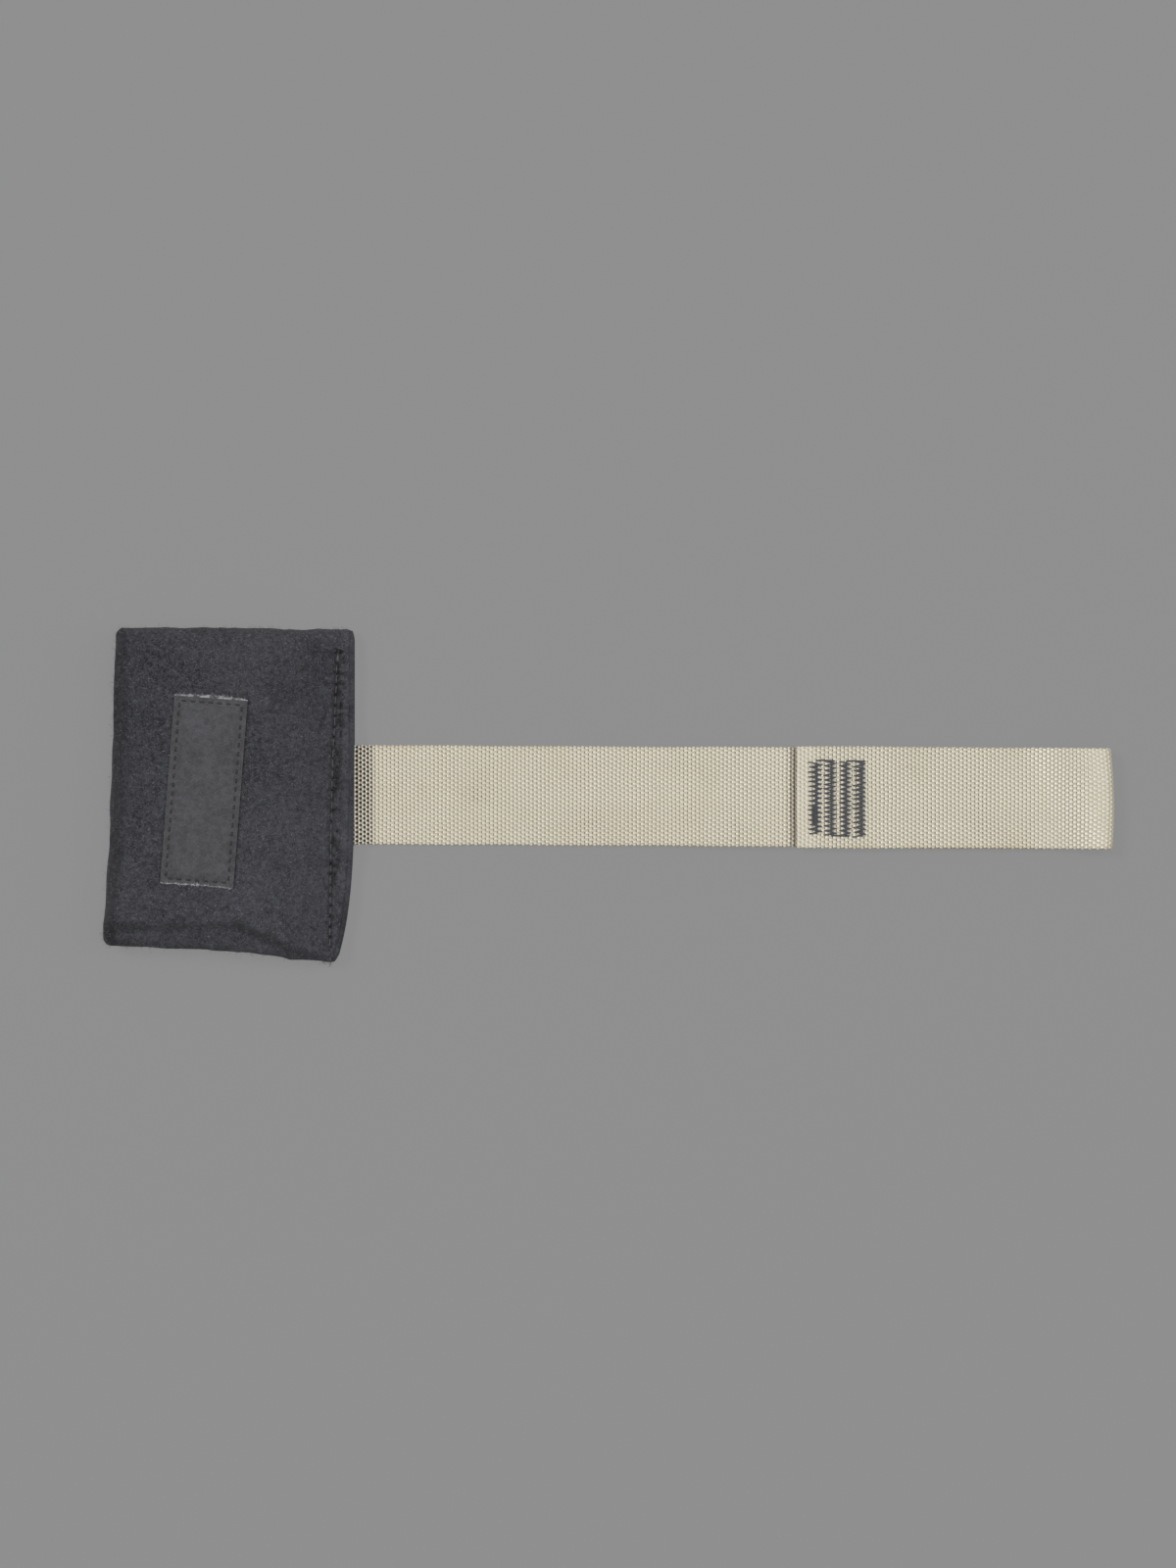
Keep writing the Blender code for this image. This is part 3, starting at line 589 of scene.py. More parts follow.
def outside(side):
    """The outer face of a panel: rim to face by the rounded edges' share. The corners are rounded in
    plan, the left edge stands back above its low corner, and the walls wave a little and are pulled in at
    the side seam, with a ripple at its stitches. Side is 1 in front and -1 at the back."""
    x, y, u, v = panel_plan()
    share = edge_height(x, y, u, v)
    shown = ease(share * 2 - 0.9)
    if side > 0:
        rim, face = front_rim(x, y, v), front_face(x, y, u, v) + front_relief(x, y, v) * shown
    else:
        rim, face = back_rim(x, v), back_face(x, v) - back_relief(x, y, v) * shown
    z = mix(rim, face, share)
    from_left, from_top, from_low = x - left_edge(v), POUCH_TOP - y, y - bottom_edge(u)
    left, top = inward(from_left, LEFT_ROLL), inward(from_top, TOP_ROLL)
    low = inward(from_low, bottom_roll(u))
    tuck = 0.0008 * bell(z - rim, 0.0009) * (1 + 0.35 * np.cos(2 * np.pi * (x - y) / 0.0035))
    tuck += 0.00025 * lumps(x + y, z * 2, 0.011, 7) + 0.00015 * lumps(x - y, z, 0.004, 8)
    corner = set_back(np.minimum(from_top, from_low), 0.0022)
    ends = set_back(from_left, 0.0022) + set_back(mouth_edge(v) - x, 0.0030)
    lean = 0.0009 * ease((v - 0.05) / 0.08)
    return joined(x + (tuck + corner + lean) * left, y + (tuck + ends) * (low - top), np.clip(z, 0, None))


def spread(count, step):
    """Weights that carry values from every step-th grid line to all of them, by a cubic curve."""
    distance = np.abs(np.arange(count)[:, None] / step - np.arange((count - 1) // step + 1)[None, :])
    near = 1.5 * distance**3 - 2.5 * distance**2 + 1
    far = -0.5 * distance**3 + 2.5 * distance**2 - 4 * distance + 2
    weights = np.where(distance < 1, near, np.where(distance < 2, far, 0))
    return weights / weights.sum(1, keepdims=True)


def blown_out(front, back, step=4, most=0.0013):
    """How far the cloth moves when it is blown out over the foam: every fourth line of both panels is
    joined at the rim and simulated as cloth under pressure, held at the mouth and where it lies on the
    floor. The moves are capped, and each is averaged with its neighbours up and down the panel."""
    coarse = [grid[::step, ::step] for grid in (front, back)]
    rows, columns = coarse[0].shape[:2]
    coarse[1][0], coarse[1][-1], coarse[1][:, 0] = coarse[0][0], coarse[0][-1], coarse[0][:, 0]
    points = np.concatenate([grid.reshape(-1, 3) for grid in coarse])
    numbers = np.arange(rows * columns).reshape(rows, columns)
    faces = np.concatenate([cells(numbers), cells(numbers + rows * columns)[:, ::-1]])
    first, place = np.unique(np.round(points * 1e6), axis=0, return_index=True, return_inverse=True)[1:]
    place = place.ravel()
    start = points[first]
    body = mesh_piece("pouch_cloth", start, place[faces])
    held = (start[:, 2] < 0.0006) | (start[:, 0] > -0.1040)
    group = body.vertex_groups.new(name="held")
    group.add(np.flatnonzero(held).tolist(), 1.0, "REPLACE")
    cloth = body.modifiers.new("cloth", "CLOTH").settings
    cloth.quality = 8
    cloth.mass = 0.25
    cloth.tension_stiffness = cloth.compression_stiffness = 25
    cloth.shear_stiffness = 8
    cloth.bending_stiffness = 0.3
    cloth.vertex_group_mass = "held"
    cloth.shrink_min = -0.012
    cloth.use_pressure = True
    cloth.uniform_pressure_force = 4
    cloth.effector_weights.gravity = 0
    for number in range(1, 21):
        bpy.context.scene.frame_set(number)
    settled = body.evaluated_get(bpy.context.evaluated_depsgraph_get()).data
    moved = np.empty(len(start) * 3, np.float32)
    settled.vertices.foreach_get("co", moved)
    bpy.data.objects.remove(body)
    bpy.context.scene.frame_set(1)
    shift = moved.reshape(-1, 3) - start
    far = np.linalg.norm(shift, axis=1, keepdims=True)
    shift = shift * np.tanh(far / most) * most / np.maximum(far, 1e-9)
    shift = shift[place].reshape(2, rows, columns, 3)
    for _ in range(4):
        shift[:, 1:-1] = (shift[:, :-2] + 2 * shift[:, 1:-1] + shift[:, 2:]) / 4
    down, along = spread(front.shape[0], step), spread(front.shape[1], step)
    return np.einsum("ri,nijk,cj->nrck", down, shift, along)


def carry(piece, name, values, kind="FLOAT"):
    """Writes values onto the points of a mesh, for its material to read."""
    stored = piece.data.attributes.new(name, kind, "POINT")
    stored.data.foreach_set("value" if kind == "FLOAT" else "vector", values.astype(np.float32).ravel())


def cover(name, node, side, outer):
    """A panel with its thickness: the inner face lies one felt in, or two in the hem, and the hem's fold
    is half a circle, a quarter from each face. Gives the outer face with its part of the fold."""
    x, y, u, v = panel_plan()
    share = edge_height(x, y, u, v)
    inner = outer.copy()
    inner[..., 0] += FELT * inward(x - left_edge(v), LEFT_ROLL)
    inner[..., 1] += FELT * (inward(y - bottom_edge(u), bottom_roll(u)) - inward(POUCH_TOP - y, TOP_ROLL))
    inner[..., 2] -= side * share * np.where(x > seam_line(v) - 0.002, HEM, FELT)
    radius = np.abs(outer[:, -1:, 2] - inner[:, -1:, 2]) / 2
    folded = []
    for face, way in ((outer, -side), (inner, side)):
        px, py, pz = np.moveaxis(face[:, -1:], -1, 0)
        bow = joined(px + radius * np.sin(FOLD_ANGLES), py, pz + way * radius * (1 - np.cos(FOLD_ANGLES)))
        folded.append(np.concatenate([face, bow], 1))
    piece = shell(name, *folded[::side], 75)
    # Painted shade for the felt's finish, on the front only
    dark = pressed(x, y, v) * ease(share * 3 - 0.5) if side > 0 else 0 * x
    dark = np.concatenate([dark] + [dark[:, -1:]] * len(FOLD_ANGLES), 1)
    carry(piece, "pressed", np.tile(dark.ravel(), 2))
    dressed(piece, "pouch", felt, "dark_felt", node)
    return folded[0]


def felt_finish():
    """Matted fibres: streaks of noise stretched along three directions, on clouds of several sizes, with
    pale flecks, a little darker to the left and at the top, a painted sheen along the hem's fold at the
    mouth, and painted shade in the seam, the creases, the slack's furrow, beside the label and down the
    left edge."""
    place, close = blank_finish("dark_needled_felt")
    x, y, _ = place.parts()
    drawn = (380.0, 2400.0, 1200.0)
    ways = [place.turned(angle, drawn).noise(1.0, 2.0, 0.6, 0.8) for angle in (0.35, 1.45, 2.55)]
    first, second, third = ways
    fibre = (first + second + third) * (1 / 3)
    streak = fibre.math("MAXIMUM", fibre.math("MAXIMUM", first, second), third)
    cloud = place.noise(48.0, 3.0, 0.6)
    nap = place.noise(520.0, 5.0, 0.78, 0.4)
    grain = place.noise(1500.0, 3.0, 0.8)
    shade = cloud.between(0.3, 0.7) * 0.18 + nap.between(0.40, 0.60) * 0.32
    shade = shade + grain.between(0.40, 0.60) * 0.24 + fibre.between(0.43, 0.57) * 0.26
    # darker to the left, and a painted sheen along the hem's fold at the mouth
    shade = shade + x.between(-0.180, -0.135, -0.075, 0.045) + x.between(-0.0998, -0.0955, 0.0, 0.20)
    shade = shade + y.between(-0.055, 0.060, 0.050, -0.045)
    colour = shade.tint((0.004, 0.0042, 0.0055), (0.082, 0.0832, 0.098)).tinted(
        (streak.between(0.64, 0.76, 0.0, 0.6), (0.112, 0.114, 0.130)),
        (place.noise(1300.0, 1.0).between(0.67, 0.73, 0.0, 0.6), (0.17, 0.17, 0.18)),
        # painted shade that the front carries on its points
        (place.attribute("pressed") * 0.75, (0.008, 0.008, 0.010)),
    )
    rough = place.noise(260.0).between(0.3, 0.7, 0.92, 1.0)
    shine = {"IOR": 1.35, "Specular_IOR_Level": 0.3, "Sheen_Weight": 0.06, "Sheen_Roughness": 0.7}
    return close(colour, rough, fibre * 0.7 + grain * 0.2 + nap * 0.6, 0.0009, **shine)


felt = felt_finish()
front_points, back_points = outside(1), outside(-1)
swell = blown_out(front_points, back_points)
front_points = front_points + swell[0]
back_points = back_points + swell[1]
back_points[..., 2] = np.clip(back_points[..., 2], 0, None)
front_points = cover("front_cover", "front_cover_panel", 1, front_points)
back_points = cover("back_cover", "back_cover_panel", -1, back_points)


# Side seam
# Bonded two-ply thread joins the panels inside the bottom, left and top edges. It was sewn inside out,
# so it lies behind the felt's edge and only the pulled-in line of the seam shows outside.

THREAD = 0.0004
PLY_LAY = 0.0016


def unit(vectors):
    """The same directions with length 1."""
    return vectors / np.maximum(np.linalg.norm(vectors, axis=-1, keepdims=True), 1e-9)


def run_along(points):
    """Distance of each point from the first, along the line through them."""
    return np.concatenate([[0], np.cumsum(np.linalg.norm(np.diff(points, axis=0), axis=1))])


def strands(name, lines, radius=THREAD / 2, sides=6, lay=PLY_LAY):
    """Closed tubes round lines, an array of (strands, points, 3): each ring stands across its line and
    swells twice round the thread, turning with the length, as two plies do."""
    lines = np.asarray(lines, float)
    count, length = lines.shape[:2]
    along = unit(np.gradient(lines, axis=1))
    across = unit(np.cross(along, (0, 0, 1.0)))
    over = np.cross(across, along)
    run = np.cumsum(np.linalg.norm(np.diff(lines, axis=1, prepend=lines[:, :1]), axis=2), 1)[..., None]
    angle = np.arange(sides) * 2 * np.pi / sides
    plies = 1 + 0.16 * np.cos(2 * (angle - 2 * np.pi * run / lay))
    size = np.broadcast_to(radius, (count, length))[..., None] * plies
    ring = (size * np.cos(angle))[..., None] * across[:, :, None]
    ring = ring + (size * np.sin(angle))[..., None] * over[:, :, None]
    points = lines[:, :, None] + ring
    numbers = np.arange(count * length * sides).reshape(count, length, sides)
    after = np.roll(numbers, -1, 2)
    quads = np.stack([numbers[:, :-1], after[:, :-1], after[:, 1:], numbers[:, 1:]], -1).reshape(-1, 4)
    caps = np.concatenate([numbers[:, 0, ::-1], numbers[:, -1]])
    return mesh_piece(name, points.reshape(-1, 3), quads, caps)


def resampled(corners, step):
    """One line of points at equal steps through corners."""
    run = run_along(corners)
    at = np.linspace(0, run[-1], max(2, int(run[-1] / step) + 1))
    return joined(*[np.interp(at, run, corners[:, axis]) for axis in range(3)])[None]


def thread_finish(name, dark, light):
    """Filaments laid round the thread: stretched noise, darker in the grooves, with a soft shine."""
    place, close = blank_finish(name)
    strand = place.turned(0.7, (2500.0, 9000.0, 6000.0)).noise(1.0, 2.0)
    colour = (strand.between(0.3, 0.7) * 0.7 + place.noise(300.0, 2.0) * 0.3).tint(dark, light)
    return close(colour, strand.between(0.3, 0.7, 0.65, 0.5), strand, 0.00005, Sheen_Weight=0.1)


def sew(name, lines, body, finish, *nodes, radius=THREAD / 2):
    """Stitches with their finish, on their body, in place of their CAD nodes."""
    return dressed(strands(name, lines, radius), body, finish, "dark_thread", *nodes)


thread = thread_finish("dark_bonded_thread", (0.038, 0.039, 0.044), (0.125, 0.126, 0.138))
inset = FELT + GAP + THREAD / 2
share = inset / POUCH_HEIGHT
low_x = np.linspace(seam_line(share) - SHOULDER, left_edge(share) + inset, 40)
high_x = np.array([left_edge(1 - share) + inset, seam_line(1 - share) - SHOULDER])
seam_y = np.concatenate([plan(low_x, share)[1], plan(high_x, 1 - share)[1]])
seam_places = joined(np.concatenate([low_x, high_x]), seam_y, POUCH_THICKNESS / 2)
sew("side_seam", resampled(seam_places, THREAD), "pouch", thread, "side_seam_thread")


# Webbing
# One length of sand-coloured nylon webbing, 38 mm wide and 1.6 mm thick, in a plain weave of 43 thick ends:
# doubled and tacked in the pouch, out at the mouth, along the floor, round the loop and back on itself.

PICK = 0.00147
ENDS = 43
EDGE_ENDS = 3
AROUND = 2 * (ENDS + EDGE_ENDS)
RELIEF = 0.00056
NOMINAL_HALF = 0.019
HALF_WIDTH = 0.01865
STRAP_LEAN = 0.0053
FLOOR_LEVEL = WEBBING / 2
TAIL_END = -0.1320
FOLD_X = -0.15395
FOLD_RADIUS = 0.00095
TAIL_BACK = TAIL_MIDDLE + 2 * FOLD_RADIUS
SLOPE_LEFT = -0.1215
FLANGE_LEFT, FLANGE_RIGHT = -0.1016, -0.0965
LANDING, LIFT_OFF = -0.0835, -0.0005
DIP_LEFT, DIP_RIGHT = 0.0655, 0.0715
RUN_LIFT, RUN_DIP = 0.0026, 0.0013
UNDER_LEFT, UNDER_LAP = 0.0780, 0.0017
CUT_END = 0.06985
LAP_RIGHT = 0.09985
LEGS_APART = 0.11255
ON_LAP = 0.00365
LEG_RISE, UPPER_LEG = 0.1600, 0.00275
BIGHT_X, BIGHT_HIGH = 0.1819, 0.0086
BIGHT_REACH = 0.00435


def rise(start, end, count=60):
    """Centre-line points of an S-shaped run from one (x, z) to another, eased in height."""
    share = np.linspace(0, 1, count)
    return joined(mix(start[0], end[0], share), mix(start[1], end[1], ease(share)))


def level(start, end, height):
    """Centre-line points of a level run."""
    return joined(np.linspace(start, end, 60), height)


def half_turn(x, height, radius):
    """Centre-line points of half a circle, down over the left."""
    angle = np.radians(np.linspace(90, 270, 60))
    return joined(x + radius * np.cos(angle), height + radius * np.sin(angle))


def bight(x, low, high, reach):
    """Centre-line points of the loop's end, up from below: half an ellipse squared by the power 0.72."""
    angle = np.radians(np.linspace(-90, 90, 160))
    swing = np.sign(np.sin(angle)) * np.abs(np.sin(angle)) ** 0.72
    return joined(x + reach * np.cos(angle).clip(0) ** 0.72, (low + high) / 2 + (high - low) / 2 * swing)


route = np.concatenate([
    level(TAIL_END, FOLD_X, TAIL_BACK),
    half_turn(FOLD_X, TAIL_MIDDLE + FOLD_RADIUS, FOLD_RADIUS),
    level(FOLD_X, SLOPE_LEFT, TAIL_MIDDLE),
    rise((SLOPE_LEFT, TAIL_MIDDLE), (FLANGE_LEFT, MOUTH_MIDDLE)),
    level(FLANGE_LEFT, FLANGE_RIGHT, MOUTH_MIDDLE),
    rise((FLANGE_RIGHT, MOUTH_MIDDLE), (LANDING, FLOOR_LEVEL)),
    level(LANDING, LIFT_OFF, FLOOR_LEVEL),
    rise((LIFT_OFF, FLOOR_LEVEL), (DIP_LEFT, RUN_LIFT), 120),
    rise((DIP_LEFT, RUN_LIFT), (DIP_RIGHT, RUN_DIP)),
    rise((DIP_RIGHT, RUN_DIP), (UNDER_LEFT, UNDER_LAP)),
    level(UNDER_LEFT, LAP_RIGHT, UNDER_LAP),
    rise((LAP_RIGHT, UNDER_LAP), (LEGS_APART, FLOOR_LEVEL)),
    level(LEGS_APART, BIGHT_X, FLOOR_LEVEL),
    bight(BIGHT_X, FLOOR_LEVEL, BIGHT_HIGH, BIGHT_REACH),
    rise((BIGHT_X, BIGHT_HIGH), (LEG_RISE, UPPER_LEG), 120),
    level(LEG_RISE, LEGS_APART, UPPER_LEG),
    rise((LEGS_APART, UPPER_LEG), (LAP_RIGHT, ON_LAP)),
    level(LAP_RIGHT, CUT_END, ON_LAP),
])
steps = np.linalg.norm(np.diff(route, axis=0), axis=1)
route = route[np.concatenate([[True], steps > 1e-7])]
reach = run_along(route)
LENGTH = reach[-1]


def reach_at(x, leg):
    """Distance along the webbing at a place x, on the run out (leg 0) or on the run back (leg 1)."""
    tip, tail_end = np.argmax(route[:, 0]), np.argmin(route[:, 0])
    part = slice(tail_end, tip + 1) if leg == 0 else slice(tip, None)
    xs, at = route[part, 0], reach[part]
    order = np.argsort(xs)
    return np.interp(x, xs[order], at[order])


def half_width(along):
    """Half the width: least on the flat run, more on the loop, most on the lap, with a slow wander."""
    lap = bell(along - LENGTH + 0.015, 0.020)
    loop = ease((along - reach_at(0.068, 0)) / 0.01)
    return HALF_WIDTH + 0.0003 * loop + 0.00025 * lap + 0.00012 * ripples(along, 0.02, 11)


def weave(picks, ends):
    """Height of the woven face from 0 to 1: each pick is a rib across the webbing, the size of the cosine
    of the picks, and on it every second end stands up as a float, a power of the same cosine by a round
    section; on the next rib the other ends do. The highest of three neighbouring ends shows."""
    near = np.round(ends)
    floats = []
    for beside in (-1, 0, 1):
        up = np.clip(np.cos(np.pi * (picks + near + beside)), 0, 1) ** 0.7
        floats.append(up * np.sqrt(np.clip(1 - ((ends - near - beside) / 0.75) ** 2, 0, 1)))
    return 0.15 + 0.35 * np.abs(np.cos(np.pi * picks)) + 0.5 * np.max(floats, axis=0)


def melted(along):
    """1 on the 5 mm before the lap's hot-cut end, where the heat has flattened the weave, eased in."""
    return ease((along - LENGTH + 0.0075) / 0.0025)


def opening(x, along):
    """1 where the webbing bends out of the mouth and its pits open, less where it dips under the lap. The
    pits are cut deeper there, and the finish paints shade and highlights by it.
    """
    mouth = (1 - ease((x + 0.0888) / 0.0026)) * (x > -0.1)
    lap = 0.62 * ease((x - DIP_LEFT) / 0.0022) * (x < 0.080)
    return (mouth + lap) * (along < reach_at(0.085, 0))


def section(q):
    """Round the strap's section: upper face, round edge, lower face, other edge. For numbers that count
    ends, gives the surface's angle and the place across the flat part, from -1 to 1."""
    first, second, third = ENDS, ENDS + EDGE_ENDS, 2 * ENDS + EDGE_ENDS
    zones = [q < first, q < second, q < third, q >= third]
    quarter, turn = np.pi / 2, np.pi / EDGE_ENDS
    angles = [quarter + 0 * q, quarter - (q - first) * turn, -quarter + 0 * q, -quarter - (q - third) * turn]
    places = [q / ENDS * 2 - 1, 1 + 0 * q, 1 - (q - second) / ENDS * 2, -1 + 0 * q]
    return np.select(zones, angles), np.select(zones, places)


def laid(x, y, z, along):
    """The strap as it lies: the run waves and cambers a little off the floor, the loop's upper leg is
    raised and leans, the loop's end bulges, and the whole strap leans 0.3 degrees."""
    run = ease((along - reach_at(-0.080, 0)) / 0.01) * (1 - ease((along - reach_at(0.060, 0)) / 0.01))
    z = z + run * (0.00018 * (1 + lumps(x, y, 0.022, 14)) + 0.0001 * (y / NOMINAL_HALF) ** 2)
    back = ease((along - reach_at(0.1862, 0)) / 0.004)
    z = z + back * (0.09 * y + 0.0003) * bell(x - 0.1715, 0.0080)
    x = x + 0.0005 * bell(x - 0.1860, 0.008) * (1 - 2 * ((y + 0.003) / NOMINAL_HALF) ** 2)
    return joined(x, y - STRAP_LEAN * (x + 0.0002) * ease((x + 0.100) / 0.01), z)


def end_faces(ring, per_end, way):
    """Faces that close one end of a strap: a strip between its faces, and a fan at each round edge."""
    flat, edge = ENDS * per_end, EDGE_ENDS * per_end
    upper, lower = ring[: flat + 1], ring[flat + edge : 2 * flat + edge + 1][::-1]
    closed = np.append(ring, ring[0])
    fans = [closed[begin : begin + edge + 1][::way] for begin in (flat, 2 * flat + edge)]
    return np.stack([upper[:-1], upper[1:], lower[1:], lower[:-1]], -1)[:, ::way], fans


def strap(name, start, end, per_pick=4, per_end=4):
    """Rings of a flat section with round edges, carried along the route between two lengths. Each is sunk
    by the weave, deeper where its pits open and shallower at the cut end and the loop's end."""
    first, last = [int(round(s / PICK * per_pick)) for s in (start, end)]
    along = np.clip(np.arange(first, last + 1) * PICK / per_pick, 0, LENGTH)[:, None]
    q = (np.arange(AROUND * per_end) / per_end)[None, :]
    centre, ahead, behind = [
        joined(np.interp(along + d, reach, route[:, 0]), np.interp(along + d, reach, route[:, 1]))
        for d in (0, 0.0004, -0.0004)
    ]
    run = unit(ahead - behind)
    radius = WEBBING / 2 * (1 - 0.25 * melted(along))
    angle, across = section(q)
    picks = along / PICK + 0.07 * lumps(along, across * NOMINAL_HALF, 0.007, 12)
    opened = opening(centre[..., 0], along)
    depth = RELIEF * (1 - 0.5 * melted(along)) * (1 + 0.2 * lumps(along, across * NOMINAL_HALF, 0.012, 13))
    depth = depth * (1 + 0.35 * opened) * (1 - 0.4 * ease((centre[..., 0] - 0.154) / 0.012))
    sunk = radius - depth * (1 - weave(picks, q))
    y = across * (half_width(along) - radius) + sunk * np.cos(angle)
    z = sunk * np.sin(angle)
    points = laid(centre[..., 0] - run[..., 1] * z, y, centre[..., 1] + run[..., 0] * z, along)
    numbers = np.arange(y.size).reshape(y.shape)
    after = np.roll(numbers, -1, 1)
    quads = np.stack([numbers[:-1], numbers[1:], after[1:], after[:-1]], -1).reshape(-1, 4)
    near_end, near_fans = end_faces(numbers[0], per_end, 1)
    far_end, far_fans = end_faces(numbers[-1], per_end, -1)
    faces = np.concatenate([quads, near_end, far_end])
    piece = mesh_piece(name, points.reshape(-1, 3), faces, np.array(near_fans + far_fans), 70)
    carry(piece, "woven", joined(picks, q, melted(along)), "FLOAT_VECTOR")
    carry(piece, "opened", np.broadcast_to(opened, y.shape))
    carry(piece, "outward", np.broadcast_to(np.clip(run[..., 0] * 3, -1, 1), y.shape))
    piece.data.materials.append(webbing)
    return piece


def webbing_finish():
    """Cream nylon, with painted shade darker in the furrow between two picks and nearly black in the pit
    where a float comes up out of it, where the cosine of the picks is near 0, most where the webbing bends
    at the mouth and before the lap's cut end. Filaments run along the floats, the ends differ a little, heat
    and age have turned some of it tan, and the run nearest the pouch is a little darker and tanner. Painted
    highlights light the rising side of the floats, a slanting band on the raised end of the loop, and the
    crests where the webbing bends at the mouth and the lap."""
    place, close = blank_finish("sand_woven_nylon")
    x, y, _ = place.parts()
    woven = place.attribute("woven", "Vector")
    picks, ends, heated = woven.parts()
    opened, outward = place.attribute("opened"), place.attribute("outward")
    number = ends.math("ROUND", ends)
    off = abs(ends - number)
    phase = (picks + number) * np.pi
    crest = phase.math("COSINE", phase)
    furrow = 1 - abs(crest)
    rising = (phase.math("SINE", phase) * outward).between(0.25, -0.25)
    cloud = place.noise(45.0, 3.0, 0.6)
    filament = woven.scaled((1.3, 14.0, 0.0)).noise(1.0, 3.0, 0.6, 0.3)
    lot = number.node("ShaderNodeTexWhiteNoise", {"noise_dimensions": "1D"}, {"W": number})
    # painted highlight on the rising side of each float, fainter at the loop's end
    glint = crest.between(0.35, 0.8) * rising * off.between(0.42, 0.15) * x.between(0.174, 0.182, 1.0, 0.45)
    age = abs(y).between(0.0172, 0.0192, 0.0, 0.45) * cloud.between(0.35, 0.65)
    # painted highlight: a slanting band on the raised end of the loop, and the crests where the webbing     bends at the mouth and the lap
    lean = x + y * 0.45
    painted_highlight = lean.between(0.159, 0.167) * lean.between(0.181, 0.172) * 0.6 + opened * 0.9
    calm = 1 - heated * 0.3
    beside_tack = abs(x - 0.0865).between(0.011, 0.008) * abs(y).between(0.0125, 0.0140)
    eased = x.between(0.145, 0.165, 0.0, 0.20) + x.between(0.174, 0.182, 0.0, 0.30)
    eased = eased + x.between(0.07, 0.10, 0.08, 0.0)
    # painted shade: darker furrows, more beside the tack; a dark pit where each float rises; nearly black     where the webbing bends at the mouth and the lap
    furrowed = furrow.between(0.45, 0.95) * calm * (0.24 + beside_tack * 0.35 + cloud * 0.34 - eased)
    pit = furrow.between(0.45, 0.85) * rising * off.between(0.50, 0.40)
    wide = furrow.between(0.02, 0.26) * rising * off.between(0.58, 0.46) * opened
    wide = wide * x.between(-0.05, 0.05, 1.0, 0.55)
    stops = [(0.0, (0.53, 0.485, 0.37)), (0.45, (0.595, 0.548, 0.428)), (0.8, (0.70, 0.66, 0.543))]
    colour = place.node("ShaderNodeValToRGB", {"stops": stops}, {0: crest * 0.5 + 0.5}).tinted(
        (glint * 0.85, (0.92, 0.90, 0.81)),
        (filament.between(0.3, 0.7, 0.20, 0.0), (0.42, 0.38, 0.30)),
        (lot * 0.12, (0.46, 0.42, 0.33)),
        (cloud.between(0.45, 0.75, 0.0, 0.16), (0.52, 0.45, 0.33)),
        (heated * 0.6, (0.60, 0.555, 0.455)),
        (age, (0.50, 0.38, 0.24)),
        (x.between(-0.02, 0.05, 0.14, 0.0), (0.49, 0.44, 0.335)),
        (crest.between(0.45, 0.9) * off.between(0.48, 0.2) * painted_highlight, (0.96, 0.93, 0.86)),
        # painted shade in the furrows and pits, and a painted shadow just before the lap's cut end
        (furrowed, (0.32, 0.275, 0.195)),
        (pit * calm * (0.95 - eased * 1.6), (0.16, 0.132, 0.086)),
        (furrow.between(0.1, 0.7) * opened * 0.6, (0.15, 0.095, 0.045)),
        (wide, (0.006, 0.004, 0.002)),
        (opened * x.between(0.0668, 0.0692, 0.0, 0.60), (0.22, 0.165, 0.10)),
    )
    rough = filament.between(0.3, 0.7, 0.24, 0.36) + furrow * 0.25 + wide * 0.4
    rough = rough - x.between(0.154, 0.168, 0.0, 0.08)
    return close(colour, rough, filament * 0.3 - pit * 0.7 - furrow * 0.4, 0.00018, Specular_IOR_Level=0.8)


webbing = webbing_finish()
# Where the strap is divided for its joints and to keep each piece small, at whole picks
SPLITS = [0.0] + [reach_at(x, 0) for x in (-0.1005, -0.045, 0.035, 0.085, 0.1835)] + [reach_at(0.125, 1)]
SPLITS = [round(s / PICK) * PICK for s in SPLITS] + [LENGTH]

tail = strap("webbing_tail_woven", SPLITS[0], SPLITS[1], 2, 2)
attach(tail, "pouch")
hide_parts("webbing_tail")
mouth = strap("webbing_mouth", SPLITS[1], SPLITS[2])
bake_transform(mouth)
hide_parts("webbing_inner_run")
middle = strap("webbing_run", SPLITS[2], SPLITS[3])
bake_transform(middle)
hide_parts("webbing_inner_run", "webbing_outer_run")
lap = strap("webbing_lap_lower", SPLITS[3], SPLITS[4])
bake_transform(lap)
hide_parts("webbing_outer_run", "webbing_loop")
for number, name in enumerate(("webbing_loop_lower", "webbing_loop_upper", "webbing_lap_upper")):
    leg = strap(name, SPLITS[4 + number], SPLITS[5 + number])
    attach(leg, "loop")
    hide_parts("webbing_loop")


# Tail tacks
# Two rows of thread are sewn to and fro through the doubled end of the webbing inside the pouch,
# so that it can't pull out between the foam slabs.

TAIL_TACK_HALF = 0.00215
TAIL_TACK_LEVEL = TAIL_BACK + WEBBING / 2 + 0.0005


def to_and_fro(x, left, right, low, high, pitch, z):
    """Points of a zigzag: left and right ends in turn, half a pitch apart along the row."""
    count = int(round((high - low) / pitch * 2))
    side = np.where(np.arange(count + 1) % 2 == 0, x - left, x + right)
    return joined(side, np.linspace(low, high, count + 1), z)


for number in (1, 2):
    x = FOLD_X - 0.004 + 0.010 * number
    zigzag = to_and_fro(x, TAIL_TACK_HALF, TAIL_TACK_HALF, -0.014, 0.014, 0.0017, TAIL_TACK_LEVEL)
    sew(f"tail_tack_{number}", resampled(zigzag, 0.0003), "pouch", thread, f"tail_tack_{number}_thread")


